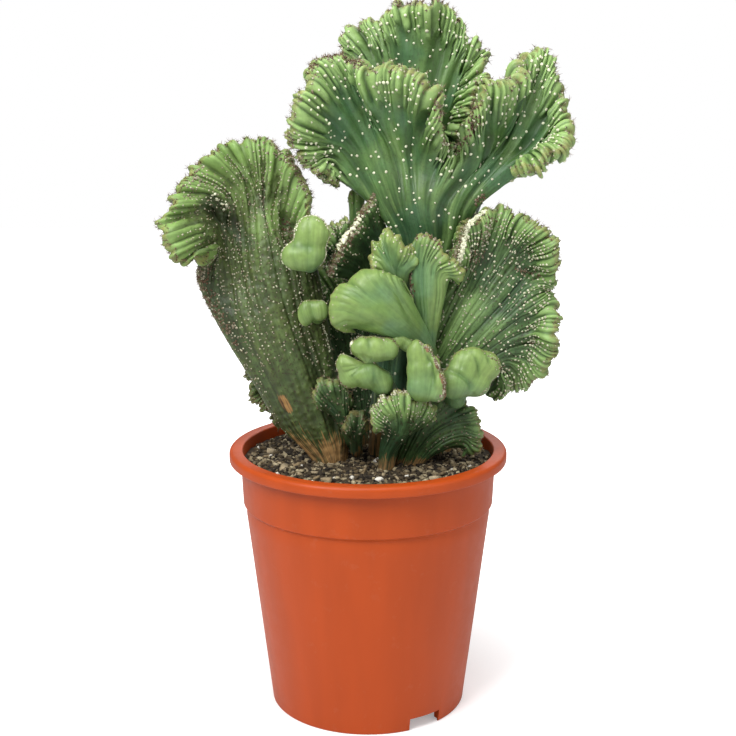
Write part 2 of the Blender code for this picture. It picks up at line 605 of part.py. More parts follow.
def keep_largest_body(mesh):
    """Delete every separate body of a mesh but the largest."""
    bm = bmesh.new()
    bm.from_mesh(mesh)
    bmesh.ops.remove_doubles(bm, verts=bm.verts[:], dist=5e-6)
    bmesh.ops.triangulate(bm, faces=bm.faces[:])
    unseen = set(bm.faces)
    bodies = []
    while unseen:
        queue = [unseen.pop()]
        body = list(queue)
        while queue:
            for edge in queue.pop().edges:
                for face in edge.link_faces:
                    if face in unseen:
                        unseen.discard(face)
                        body.append(face)
                        queue.append(face)
        bodies.append(body)
    bodies.sort(key=lambda body: sum(face.calc_area() for face in body))
    spare = [face for body in bodies[:-1] for face in body]
    bmesh.ops.delete(bm, geom=spare, context="FACES")
    bm.to_mesh(mesh)
    bm.free()


def carve(target, others, distance):
    """Cut the target back from each of the others that it meets, and keep its largest body.

    The exact solver loses a sheet whose tight folds touch, so these cuts use the manifold one.
    """
    cutters = []
    for other, share in itertools.product(others, GROWTH_SHARES):
        tool = grown(other, distance * share)
        own = bmesh.new()
        own.from_mesh(target.data)
        meets = overlaps(tool, own)
        own.free()
        if meets:
            cutter = add_cutter("cutter_" + other.name, tool)
            boolean(target, cutter, solver="MANIFOLD")
            cutters.append(cutter)
        else:
            tool.free()
    if not cutters:
        return
    bpy.context.view_layer.update()
    evaluated = target.evaluated_get(bpy.context.evaluated_depsgraph_get())
    result = bpy.data.meshes.new_from_object(evaluated)
    keep_largest_body(result)
    target.modifiers.clear()
    target.data = result
    for cutter in cutters:
        bpy.data.objects.remove(cutter)


def turned(profile, segments):
    """A solid of revolution from a closed profile of (radius, height) points."""
    bm = bmesh.new()
    points = [bm.verts.new((radius, 0, z)) for radius, z in profile]
    edges = [bm.edges.new((a, b)) for a, b in zip(points, points[1:])]
    bmesh.ops.spin(bm, geom=points + edges, cent=(0, 0, 0), axis=(0, 0, 1),
                   angle=math.tau, steps=segments, use_merge=True)
    bmesh.ops.remove_doubles(bm, verts=bm.verts[:], dist=1e-6)
    bmesh.ops.recalc_face_normals(bm, faces=bm.faces[:])
    return bm


def arc(centre, radius, start, end, steps):
    """Points of a circular arc in the profile plane, angles in degrees."""
    points = []
    for i in range(steps + 1):
        angle = math.radians(start + (end - start) * i / steps)
        points.append((centre[0] + radius * math.cos(angle), centre[1] + radius * math.sin(angle)))
    return points


def body_radius(z):
    """Outer radius of the tapered body at a height."""
    return FOOT_RADIUS + (BODY_TOP_RADIUS - FOOT_RADIUS) * z / SHOULDER_Z


def pot_profile():
    """The pot's wall from the underside of the floor, round the foot and rim, to the floor."""
    under_rim = RIM_TOP - RIM_DEPTH
    shoulder_top = SHOULDER_Z + SHOULDER_RISE
    inner_shoulder = shoulder_top + WALL
    profile = [(0.0, FLOOR_Z), (body_radius(FLOOR_Z) - 2 * WALL, FLOOR_Z)]
    profile += [(body_radius(FLOOR_Z) - WALL, FLOOR_Z - WALL), (FOOT_RADIUS - WALL, 0.0)]
    profile += [(FOOT_RADIUS - WALL / 3, 0.0), (body_radius(WALL / 3), WALL / 3)]
    profile += [(BODY_TOP_RADIUS, SHOULDER_Z), (BAND_BOTTOM_RADIUS, shoulder_top)]
    profile += [(BAND_TOP_RADIUS, RIM_TOP - WALL - 0.0014), (RIM_RADIUS - WALL, RIM_TOP - WALL - 0.0014)]
    profile += [(RIM_RADIUS - WALL, under_rim), (RIM_RADIUS - WALL / 4, under_rim)]
    profile += arc((RIM_RADIUS - RIM_ROUND, RIM_TOP - RIM_ROUND), RIM_ROUND, 0, 90, 3)
    profile += [(BAND_TOP_RADIUS - WALL / 2, RIM_TOP - WALL / 5), (BAND_TOP_RADIUS - WALL, RIM_TOP - WALL)]
    profile += [(BAND_BOTTOM_RADIUS - WALL, inner_shoulder), (BODY_TOP_RADIUS - WALL, SHOULDER_Z + WALL)]
    profile += [(body_radius(FLOOR_Z + 4 * WALL) - WALL, FLOOR_Z + 4 * WALL)]
    profile += [(body_radius(FLOOR_Z + WALL) - 3 * WALL, FLOOR_Z + WALL), (0.0, FLOOR_Z + WALL)]
    return profile


def box_bmesh(size, place, turn):
    """A box of a size at a place, turned about Z."""
    bm = bmesh.new()
    bmesh.ops.create_cube(bm, size=1)
    bmesh.ops.scale(bm, vec=size, verts=bm.verts[:])
    matrix = Matrix.Rotation(turn, 4, "Z") @ Matrix.Translation(place)
    bmesh.ops.transform(bm, matrix=matrix, verts=bm.verts[:])
    return bm


def make_pot():
    """The pot, with its foot notches between cheeks and its drain holes."""
    pot = add_object("nursery_pot", turned(pot_profile(), POT_SEGMENTS),
                     material("moulded_pot", TERRACOTTA_PLASTIC, 0.45))
    cheek_overlap = WALL / 2
    for index, degrees in enumerate(NOTCH_ANGLES):
        turn = math.radians(degrees)
        for side in (-1, 1):
            size = (NOTCH_CHEEK, WALL, FLOOR_Z - WALL / 2)
            x = FOOT_RADIUS - WALL - NOTCH_CHEEK / 2 + cheek_overlap
            place = (x, side * (NOTCH_WIDTH / 2 + WALL / 2), size[2] / 2 + WALL)
            boolean(pot, add_cutter(f"cheek_{index}_{side}", box_bmesh(size, place, turn)), "UNION")
        cut = box_bmesh((NOTCH_CHEEK * 2, NOTCH_WIDTH, FLOOR_Z * 2 - WALL),
                        (FOOT_RADIUS, 0, 0), turn)
        boolean(pot, add_cutter(f"notch_{index}", cut))
    for index in range(DRAIN_HOLES):
        bm = bmesh.new()
        angle = math.tau * (index + 0.5) / DRAIN_HOLES
        place = Matrix.Translation((DRAIN_RING * math.cos(angle), DRAIN_RING * math.sin(angle), FLOOR_Z))
        bmesh.ops.create_cone(bm, cap_ends=True, segments=10, radius1=DRAIN_RADIUS,
                              radius2=DRAIN_RADIUS, depth=WALL * 4, matrix=place)
        boolean(pot, add_cutter(f"drain_{index}", bm))
    return pot


def make_soil():
    """The plug of potting soil, before the stems and grit are cut from it."""
    clear = WALL + GAP + 0.0002
    floor = FLOOR_Z + WALL + GAP
    corner = 4 * WALL
    shoulder_top = SHOULDER_Z + SHOULDER_RISE + WALL
    top_radius = BAND_TOP_RADIUS - clear - 0.0004
    profile = [(0.0, floor), (body_radius(floor) - clear - 3 * WALL, floor)]
    profile += [(body_radius(floor + corner) - clear - 0.0004, floor + corner)]
    profile += [(BODY_TOP_RADIUS - clear - 0.0004, SHOULDER_Z + WALL)]
    profile += [(BAND_BOTTOM_RADIUS - clear - 0.0006, shoulder_top), (top_radius, SOIL_TOP)]
    profile += [(0.0, SOIL_TOP)]
    bm = turned(profile, SOIL_SEGMENTS)
    return add_object("potting_soil", bm, material("peat_soil", SOIL_COLOUR, 0.95))


def make_grit(name, place, half_size, degrees, look):
    """A chip or grain, half sunk in the soil."""
    bm = bmesh.new()
    bmesh.ops.create_icosphere(bm, subdivisions=1, radius=1)
    bmesh.ops.scale(bm, vec=half_size, verts=bm.verts[:])
    matrix = Matrix.Translation((*place, SOIL_TOP + GRIT_RISE))
    matrix = matrix @ Matrix.Rotation(math.radians(degrees), 4, "Z")
    bmesh.ops.transform(bm, matrix=matrix, verts=bm.verts[:])
    return add_object(name, bm, look)


def main():
    """Clear the scene and build every piece."""
    for old in list(bpy.data.objects):
        bpy.data.objects.remove(old)
    make_pot()
    crest_look = material("crested_stem", STEM_GREEN, 0.5)
    pad_look = material("smooth_pad", PAD_GREEN, 0.42)
    stems = []
    for name, facts in STEMS.items():
        look = pad_look if "pad" in name else crest_look
        stem = add_object(name, crest_bmesh(facts["rows"], facts["thickness"]), look)
        carve(stem, stems, STEM_GAP)
        stems.append(stem)
    soil = make_soil()
    bark_look = material("bark", BARK_COLOUR, 0.9)
    perlite_look = material("perlite", PERLITE_COLOUR, 0.85)
    loose = []
    for name, place, half_size, degrees in GRIT:
        look = bark_look if name.startswith("bark") else perlite_look
        loose.append(make_grit(name, place, half_size, degrees, look))
    carve(soil, stems + loose, STEM_GAP)


main()
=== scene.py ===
"""Potted crested blue myrtle cactus: the look of every piece, built in the frame of its solid model.

Metres, +Z up, -Y is the front; only the tables of points are in millimetres. The crested stems are
thick sheets. Rows of points run from a stem's root to its crown, a smooth surface goes through the
rows, and the surface gets a thickness, ribs that fork towards the crown, wool cushions (areoles) and
spines.
"""

import math
import random
from collections import namedtuple

import bmesh
import bpy
import numpy as np
from bpy.props import FloatProperty, FloatVectorProperty, IntProperty, PointerProperty
from mathutils import Matrix, Vector, noise
from mathutils.bvhtree import BVHTree


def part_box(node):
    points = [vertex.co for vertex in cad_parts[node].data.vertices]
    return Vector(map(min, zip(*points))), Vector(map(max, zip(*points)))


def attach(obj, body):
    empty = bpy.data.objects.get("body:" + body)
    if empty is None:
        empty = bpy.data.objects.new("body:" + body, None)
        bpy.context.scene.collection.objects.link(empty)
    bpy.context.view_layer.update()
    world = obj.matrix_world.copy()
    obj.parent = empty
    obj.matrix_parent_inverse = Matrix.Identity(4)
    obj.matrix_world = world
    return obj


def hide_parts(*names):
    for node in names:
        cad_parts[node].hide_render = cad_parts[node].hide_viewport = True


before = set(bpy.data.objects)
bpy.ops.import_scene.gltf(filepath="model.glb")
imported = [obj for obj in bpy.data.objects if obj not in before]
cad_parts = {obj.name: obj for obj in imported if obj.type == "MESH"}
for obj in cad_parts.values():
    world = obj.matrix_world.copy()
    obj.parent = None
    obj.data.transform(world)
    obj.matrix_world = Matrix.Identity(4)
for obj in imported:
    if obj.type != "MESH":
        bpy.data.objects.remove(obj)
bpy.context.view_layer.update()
POT_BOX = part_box("nursery_pot")
SOIL_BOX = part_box("potting_soil")

bl_info = {
    "name": "Potted crested cactus",
    "version": (1, 0, 0),
    "blender": (4, 5, 0),
    "location": "3D View > Sidebar > Cactus",
    "description": "Models a crested blue myrtle cactus in a moulded nursery pot",
    "category": "Add Mesh",
}

BODY = "root"
RIM_TOP = POT_BOX[1].z
SOIL_TOP = SOIL_BOX[1].z
# Height where the roots of the stems end in the soil, in millimetres.
ROOT = 1000 * (SOIL_TOP - 0.0205)

# Pot heights and radii that the solid model's boxes don't give.
RIM_DEPTH = 0.008
BAND_TOP_RADIUS = 0.0963
BAND_BOTTOM_RADIUS = 0.0950
SHOULDER_Z = 0.1573
SHOULDER_RISE = 0.0025
BAND_RECESS = 0.0011
BODY_TOP_RADIUS = 0.09345
FOOT_RADIUS = 0.0746
WALL = 0.0016
FLOOR_Z = 0.0105
# Edge rounds: of the foot, the band's lower edge, and the rim's underside, outside and inside.
FOOT_ROUND = 0.0010
BAND_ROUND = 0.0009
UNDER_ROUND = 0.0007
RIM_ROUND = 0.0030
LIP_ROUND = 0.0014
NOTCH_ANGLES = (-55.3, 124.7)
NOTCH_WIDTH = 0.027
NOTCH_CHEEK = 0.0055
DRAIN_HOLES = 6
DRAIN_RADIUS = 0.006
DRAIN_RING = 0.052

# Soil: where the plug starts, its gap to the wall, and how far out loose things lie.
SOIL_BASE = 0.10
SOIL_GAP = 0.0008
CRUMB_REACH = 0.091
CHIP_REACH = 0.088
GRAIN_REACH = 0.089
# How many shapes of each loose thing there are.
SHAPES = 4
# The lights face this height.
AIM_HEIGHT = 0.28

# Loose pieces that the solid model holds, and what each one is made of here.
BARK_NODES = [f"bark_chip_{number}" for number in range(1, 7)]
PERLITE_NODES = [f"perlite_grain_{number}" for number in range(1, 5)]

# How a kind of stem grows, with lengths in metres.
# rib: distance between ribs at the crown; depth and neck: how deep they are there and below.
# finger: shortest and longest stretch of deep rib below the crown.
# dots: distance along and across the growth between areoles, and how far down they go (share).
# wool: size of a cushion, how brown it is, and how many spines of what length stand in it.
# edge: distance between areoles along the crown, and their number and length of spines.
# plump: how far in from the edge the sheet rounds off, in half thicknesses.
# wave: how far the crown sways to and fro, and how uneven its height is.
# young: how much of the crown's fresh colour it shows.
Habit = namedtuple("Habit", "look rib depth neck finger dots wool edge plump wave young")
HABITS = {
    "tall": Habit("crest_skin", 0.0062, 0.0032, 0.00012, (0.012, 0.030), (0.0092, 0.0095, 0.66),
                  (0.00110, 0.05, 1, 0.0012), (0.0018, 6, 0.0032), 1.3, (0.0028, 0.0018), 1.0),
    "dotted": Habit("dotted_skin", 0.0080, 0.0018, 0.0006, (0.014, 0.034), (0.0036, 0.0038, 0.64),
                    (0.00066, 0.35, 3, 0.0019), (0.0018, 6, 0.0030), 1.3, (0.0028, 0.0014), 1.0),
    "fanned": Habit("fan_skin", 0.0046, 0.0021, 0.0007, (0.012, 0.030), (0.0040, 0.0044, 0.74),
                    (0.00085, 0.20, 3, 0.0018), (0.0020, 5, 0.0030), 1.3, (0.0020, 0.0014), 1.0),
    # Stems that stand in shade show less of the fresh crown colour, as painted shade.
    "shaded": Habit("fan_skin", 0.0042, 0.0016, 0.0009, (0.004, 0.010), (0.0060, 0.0060, 0.60),
                    (0.00066, 0.6, 3, 0.0016), (0.0022, 5, 0.0026), 1.3, (0.0016, 0.0012), 0.6),
    "young": Habit("pad_skin", 0.0050, 0.0014, 0.0005, (0.006, 0.020), (0.0120, 0.0100, 0.12),
                   (0.00080, 0.3, 1, 0.0010), (0.0030, 2, 0.0020), 1.6, (0.0010, 0.0008), 0.5),
    "woolly": Habit("fan_skin", 0.0040, 0.0012, 0.0004, (0.004, 0.009), (0.0120, 0.0100, 0.30),
                    (0.00080, 0.4, 2, 0.0014), (0.0010, 2, 0.0020), 1.3, (0.0008, 0.0008), 0.4),
    "leaf": Habit("pad_skin", 0.0062, 0.0010, 0.0002, (0.004, 0.012), (0.0200, 0.0160, 0.20),
                  (0.00080, 0.2, 1, 0.0010), (0.0024, 1, 0.0014), 1.8, (0.0022, 0.0014), 0.9),
    "pad": Habit("pad_skin", 0.0080, 0.0006, 0.0001, (0.006, 0.020), (0.0400, 0.0300, 0.10),
                 (0.00060, 0.5, 1, 0.0008), (0.0034, 1, 0.0010), 2.0, (0.0005, 0.0005), 0.8),
    "knob": Habit("fan_skin", 0.0046, 0.0024, 0.0004, (0.004, 0.010), (0.0046, 0.0046, 0.70),
                  (0.00085, 0.25, 2, 0.0014), (0.0020, 3, 0.0022), 1.6, (0.0020, 0.0016), 0.85),
    "beaded": Habit("fan_skin", 0.0042, 0.0022, 0.0005, (0.006, 0.016), (0.0040, 0.0040, 0.42),
                    (0.00062, 0.35, 2, 0.0014), (0.0022, 3, 0.0020), 1.6, (0.0030, 0.0020), 0.9),
    "old": Habit("dotted_skin", 0.0050, 0.0022, 0.0004, (0.004, 0.010), (0.0034, 0.0036, 0.80),
                 (0.00060, 0.6, 3, 0.0018), (0.0022, 4, 0.0024), 1.4, (0.0018, 0.0014), 0.25),
}

# Crested stems: their habit, their thickness at root, middle and crown, and rows of points from
# root to crown, all in millimetres.
Stem = namedtuple("Stem", "habit thickness rows")
STEMS = {
    "top_front_crest": Stem("tall", (26, 19, 12.5), [
        [(2, 10, ROOT), (28, 12, ROOT)],
        [(0, 8, 192), (30, 12, 190)],
        [(2, 10, 234), (31, 14, 233)],
        [(6, 14, 276), (38, 16, 276)],
        [(14, 12, 318), (54, 14, 318)],
        [(19, 6, 357), (46, 0, 358), (74, 6, 357)],
        [(2, 2, 383), (24, -6, 386), (46, -10, 386), (66, -6, 386), (86, 2, 389)],
        [(-30, -10, 407), (-22, -6, 425), (6, 0, 432), (30, -4, 424), (46, -8, 415), (59, -8, 414),
         (73, -6, 416), (88, 0, 424), (110, 0, 428), (125, -6, 422), (107, -8, 408)],
        [(-20, -6, 397), (-46, -22, 416), (-56, -34, 440), (-48, -40, 459), (-37, -20, 484), (-20, 4, 488),
         (-4, -16, 482), (18, -40, 482), (37, -50, 476), (48, -50, 462), (48, -34, 446), (52, -10, 430),
         (63, -2, 424), (72, -12, 432), (75, -32, 455), (86, -40, 473), (102, -22, 471), (112, 4, 489),
         (129, 12, 494), (139, 4, 468), (145, -14, 439), (134, -34, 424), (118, -30, 415), (102, -12, 407)],
    ]),
    "left_crest": Stem("dotted", (26, 17, 12.5), [
        [(-41, -8, ROOT), (-18, -6, ROOT)],
        [(-42, -8, 193), (-16, -6, 192)],
        [(-65, -4, 218), (-38, -10, 219), (-15, 0, 217)],
        [(-85, -2, 253), (-53, -12, 255), (-24, 4, 251)],
        [(-112, 0, 298), (-69, -12, 300), (-31, 6, 297)],
        [(-125, 0, 329), (-95, 4, 338), (-73, -6, 342), (-52, -2, 334), (-38, 8, 328)],
        [(-112, -10, 346), (-117, -19, 359), (-115, -15, 375), (-102, 3, 388), (-87, 9, 393), (-75, 5, 385),
         (-67, -1, 369), (-56, 3, 353), (-41, 10, 342)],
        [(-115, -24, 351), (-128, -40, 347), (-144, -48, 361), (-142, -36, 383), (-129, -10, 408),
         (-106, 10, 426), (-79, 12, 431), (-58, 2, 420), (-46, -10, 400), (-41, -10, 378), (-36, 4, 354)],
    ]),
    "right_crest": Stem("fanned", (24, 18, 12.5), [
        [(40, 16, ROOT), (62, 16, ROOT)],
        [(39, 16, 191), (64, 16, 191)],
        [(38, 14, 227), (64, 16, 225)],
        [(40, 6, 262), (56, 2, 262), (71, 10, 246)],
        [(48, 0, 293), (66, -6, 290), (80, -6, 274), (86, 4, 253)],
        [(56, 0, 319), (78, -4, 323), (96, -10, 310), (104, -8, 286), (100, 2, 256)],
        [(61, -12, 338), (80, -8, 358), (104, -4, 357), (122, -4, 340), (122, -10, 318), (125, -10, 292),
         (116, -4, 264), (96, 4, 247)],
        [(62, -26, 345), (68, -20, 364), (80, -16, 379), (98, -6, 382), (119, -16, 374), (135, -26, 358),
         (138, -14, 339), (135, 4, 321), (139, -20, 305), (136, -22, 277), (125, -4, 252), (105, 10, 239),
         (88, 18, 238)],
    ]),
    "top_rear_crest": Stem("tall", (22, 17, 12.5), [
        [(34, 8, 345), (62, 8, 345)],
        [(34, 26, 374), (64, 26, 374)],
        [(24, 36, 404), (46, 32, 410), (68, 32, 405)],
        [(4, 44, 440), (22, 36, 456), (45, 26, 455), (64, 30, 444), (70, 34, 424)],
        [(-2, 50, 460), (-4, 48, 486), (14, 36, 496), (36, 24, 500), (58, 26, 497), (70, 28, 478),
         (68, 26, 452), (64, 30, 428)],
        [(-7, 66, 458), (-19, 64, 480), (-19, 56, 500), (-8, 46, 514), (6, 40, 514), (17, 26, 523),
         (40, 10, 527), (56, 18, 526), (70, 34, 507), (85, 30, 494), (86, 20, 476), (77, 14, 460),
         (74, 16, 444), (70, 24, 424)],
    ]),
    "lower_right_fan": Stem("shaded", (20, 14, 11), [
        [(16, -14, ROOT), (36, -12, ROOT)],
        [(16, -16, 193), (42, -14, 191)],
        [(24, -20, 213), (42, -24, 219), (60, -22, 205)],
        [(36, -14, 232), (53, -22, 235), (69, -24, 223), (72, -22, 204)],
        [(36, -10, 244), (52, -14, 250), (68, -20, 246), (80, -26, 232), (85, -26, 217), (81, -24, 204),
         (70, -20, 197)],
    ]),
    "middle_fan": Stem("young", (16, 12, 9), [
        [(40, -6, 256), (50, -6, 258)],
        [(38, -18, 286), (50, -18, 288)],
        [(32, -22, 316), (43, -26, 322), (56, -22, 318)],
        [(30, -20, 342), (43, -28, 346), (60, -26, 333)],
        [(28, -18, 352), (34, -24, 362), (43, -30, 366), (51, -33, 361), (56, -31, 350), (64, -32, 346),
         (70, -28, 338), (66, -24, 328)],
    ]),
    "centre_pad": Stem("pad", (18, 19, 14), [
        [(40, -12, 266), (50, -12, 280)],
        [(31, -26, 280), (40, -28, 302)],
        [(12, -40, 294), (16, -47, 310), (30, -34, 320)],
        [(-10, -44, 300), (-14, -50, 317), (-6, -48, 330), (10, -44, 336), (25, -35, 325)],
        [(-8, -42, 296), (-22, -43, 300), (-28, -44, 313), (-24, -44, 328), (-14, -43, 334), (-4, -41, 342),
         (12, -38, 339), (26, -33, 327), (34, -31, 313)],
    ]),
    "small_upper_crest": Stem("leaf", (15, 11, 9), [
        [(18, 0, 304), (31, 0, 305)],
        [(14, -16, 324), (29, -16, 324)],
        [(8, -28, 338), (18, -24, 344), (30, -28, 338)],
        [(3, -32, 338), (2, -26, 350), (4, -20, 360), (12, -22, 368), (20, -32, 366), (28, -34, 358),
         (35, -26, 350), (36, -22, 340)],
    ]),
    "edge_fan": Stem("woolly", (14, 10, 7), [
        [(2, 6, 289), (20, 10, 288)],
        [(-4, 0, 314), (14, 10, 319)],
        [(-14, -14, 330), (-2, -4, 350), (14, 10, 360)],
        [(-28, -29, 336), (-23, -30, 352), (-15, -27, 365), (-7, -21, 375), (-1, -14, 384), (5, -8, 393)],
    ]),
    "curled_knob": Stem("knob", (12, 12, 11), [
        [(-10, 4, 318), (0, 6, 320)],
        [(-24, 4, 336), (-14, 6, 344)],
        [(-34, 0, 340), (-32, -2, 354), (-20, 0, 364), (-12, 4, 356)],
        [(-34, -4, 336), (-38, -6, 350), (-30, -6, 362), (-17, -2, 372), (-8, 2, 364)],
    ]),
    "narrow_sprig": Stem("young", (10, 9, 8), [
        [(12, 14, 300), (24, 14, 300)],
        [(-4, 18, 326), (7, 20, 328)],
        [(-13, 18, 352), (-2, 20, 352)],
        [(-14, 14, 380), (-3, 16, 380)],
        [(-15, 10, 388), (-9, 10, 397), (-2, 12, 388)],
    ]),
    "low_ribbed_crest": Stem("beaded", (17, 15, 12), [
        [(6, -30, ROOT), (18, -30, ROOT)],
        [(8, -32, 206), (22, -32, 206)],
        [(10, -40, 224), (24, -45, 234), (38, -38, 227)],
        [(5, -40, 222), (2, -47, 236), (10, -51, 250), (22, -53, 256), (35, -52, 252), (46, -46, 244),
         (50, -38, 232)],
    ]),
    "low_left_lobe": Stem("shaded", (14, 13, 12), [
        [(-16, -12, 205), (-6, -10, 205)],
        [(-24, -24, 229), (-12, -24, 231)],
        [(-38, -30, 240), (-41, -32, 252), (-30, -34, 261), (-17, -32, 256), (-11, -28, 243)],
    ]),
    "low_left_knob": Stem("shaded", (11, 12, 11), [
        [(-14, -12, 200), (-4, -12, 200)],
        [(-14, -26, 214), (-4, -26, 214)],
        [(-19, -34, 222), (-14, -36, 234), (-3, -36, 235), (0, -34, 222)],
    ]),
    "margin_bud": Stem("old", (14, 14, 11), [
        [(-56, 2, 222), (-70, 2, 272)],
        [(-64, 6, 220), (-76, 6, 246), (-80, 6, 274)],
        [(-66, 6, 216), (-76, 8, 230), (-85, 10, 250), (-86, 6, 276)],
        [(-68, 4, 212), (-77, 8, 224), (-86, 2, 236), (-92, 10, 250), (-91, 8, 264), (-90, 2, 276)],
    ]),
    "back_fan": Stem("fanned", (22, 16, 12), [
        [(-12, 34, ROOT), (10, 34, ROOT)],
        [(-14, 34, 192), (10, 36, 192)],
        [(-22, 42, 226), (10, 46, 226)],
        [(-40, 46, 262), (-12, 56, 270), (14, 52, 264)],
        [(-54, 46, 286), (-34, 60, 302), (-6, 66, 306), (18, 60, 296), (26, 52, 276)],
        [(-58, 44, 278), (-64, 48, 298), (-52, 60, 318), (-30, 74, 328), (-10, 72, 322), (10, 66, 326),
         (30, 62, 310), (34, 56, 286), (26, 50, 270)],
    ]),
    "back_neck_bud": Stem("knob", (13, 13, 11), [
        [(30, 14, 298), (44, 14, 298)],
        [(28, 32, 320), (44, 32, 320)],
        [(22, 38, 326), (26, 44, 342), (42, 46, 346), (52, 42, 332)],
    ]),
    "back_low_crest": Stem("fanned", (16, 15, 12), [
        [(30, 44, ROOT), (44, 44, ROOT)],
        [(30, 46, 192), (46, 46, 192)],
        [(28, 54, 212), (50, 56, 212)],
        [(18, 58, 214), (22, 62, 232), (38, 68, 240), (54, 64, 234), (62, 58, 216)],
    ]),
}

# Young pads without ribs: lobes that melt together, each a centre and three radii in millimetres.
# The first lobes make the pad and the last one its foot, which stands in the stem that bears it.
# rim: which way round the edge areoles stand (degrees from +X towards +Z), their distance and
# size in millimetres, and their brownness. blend: how crisp the creases between lobes are.
Lump = namedtuple("Lump", "blend rim lobes")
LUMPS = {
    "round_pad": Lump(2.4, (-60, 230, 0.9, 0.9, 0.1), [
        ((-40, -34, 367), (12.2, 8, 12.8)), ((-47.5, -37, 351), (14.2, 8.8, 11.2)),
        ((-38, -32, 353), (8, 7, 9)), ((-42, -14, 345), (8, 18, 9))]),
    "right_pad": Lump(2.5, (-60, 190, 1.6, 0.6, 0.5), [
        ((63, -46, 261), (12.8, 9, 11.8)), ((74, -42, 273.5), (15.5, 8.8, 12.2)),
        ((86, -39, 271.5), (9.6, 7.5, 9.8)), ((77, -42, 259), (10.8, 8, 9.5)),
        ((64, -24, 248), (8.5, 18, 11))]),
    "lobed_pad": Lump(2.8, (0, 240, 1.4, 0.7, 0.45), [
        ((-5, -51, 288), (7.8, 7.8, 7.8)), ((4, -50, 286.5), (8.5, 8, 8.8)),
        ((13, -48, 286), (8.8, 7.8, 8.6)), ((-16.5, -50, 275.5), (6.6, 7.8, 7.8)),
        ((-13, -50, 266), (8, 8.2, 8)), ((0, -47, 266.5), (10.5, 8.8, 10)),
        ((10, -43, 260.5), (9, 8.8, 9.8)), ((13, -20, 248), (9, 18, 11))]),
    "low_bud": Lump(2.6, (20, 170, 2.4, 0.6, 0.4), [
        ((22.5, -43, 291.5), (6, 5.6, 5.6)), ((28.5, -42, 288), (5.2, 5.2, 5)),
        ((30, -26, 285), (5.5, 14, 5))]),
    "scarred_pad": Lump(3.0, (-80, 100, 2, 0.8, 0.85), [
        ((34, -55, 285), (6.8, 6.2, 9.8)), ((36.5, -56, 272), (9.2, 7.5, 11)),
        ((38.5, -57, 260), (11.2, 8.5, 10.8)), ((41.5, -58, 285.5), (4.2, 5, 6.2)),
        ((46.5, -60, 276), (4.6, 5.6, 7.6)), ((50, -60, 265), (5.2, 6, 8)),
        ((49, -59, 256.5), (6.4, 6, 6.2)), ((36, -34, 242), (8, 18, 11))]),
    "left_stub": Lump(2.0, (20, 170, 2, 0.6, 0.3), [
        ((-45, -28, 308), (6, 5.2, 9.2)), ((-40, -27, 311), (6, 5, 6)),
        ((-34, -29, 310.5), (5.6, 4.8, 7.4)), ((-37, -12, 304), (5.5, 13, 6.5))]),
    "back_left_pad": Lump(2.4, (-20, 200, 2.2, 0.8, 0.3), [
        ((-72, 40, 335), (12, 7.5, 12.5)), ((-60, 42, 325), (13, 8, 13)), ((-53, 42, 338), (11.5, 8, 10.5)),
        ((-56, 18, 308), (9, 22, 15))]),
    "back_right_pad": Lump(2.4, (-20, 200, 2.2, 0.8, 0.3), [
        ((70, 54, 294), (11, 8, 12.5)), ((79, 50, 281), (13, 8, 12.5)), ((89, 46, 290), (10.5, 7.5, 11)),
        ((66, 28, 262), (9, 24, 13))]),
}

# Creases pressed into the front of a stem or pad, with painted shade in them: a line by x and
# height, its width and its depth, in millimetres.
CREASES = {
    "left_crest": [
        ([(-114, 386), (-103, 374), (-92, 360)], 5.2, 8),
        ([(-64, 380), (-55, 362)], 5, 6)],
    "top_front_crest": [([(62, 452), (64, 420)], 5, 5)],
    "right_crest": [([(106, 339), (128, 333)], 4.4, 5)],
    "right_pad": [
        ([(55, 271.5), (65, 269), (72.5, 262), (75, 254)], 1.7, 2.4),
        ([(73.5, 284), (78, 276), (80, 264)], 1.3, 1.2),
        ([(84, 283), (88.5, 272)], 1.1, 0.9)],
    "lobed_pad": [
        ([(-13, 286), (-6, 277), (-10.5, 269), (-7, 261)], 1.7, 2.2),
        ([(-6, 278), (6, 277.5), (18, 276)], 1.8, 1.6),
        ([(0, 298), (1, 286)], 1.6, 0.8),
        ([(4, 274), (5, 260)], 1.6, 0.9)],
    "scarred_pad": [([(36.5, 292), (42, 282), (45.5, 271), (45, 258)], 1.4, 2.2)],
    "round_pad": [([(-56, 361), (-47, 359), (-34, 357.5)], 3, 1.4)],
    "centre_pad": [
        ([(8, 338), (21, 326), (33, 298)], 1.5, 1.1),
        ([(-12, 337), (-8, 325)], 1.4, 0.7),
        ([(-26, 304), (-10, 302), (8, 306)], 2.4, 0.7)],
}
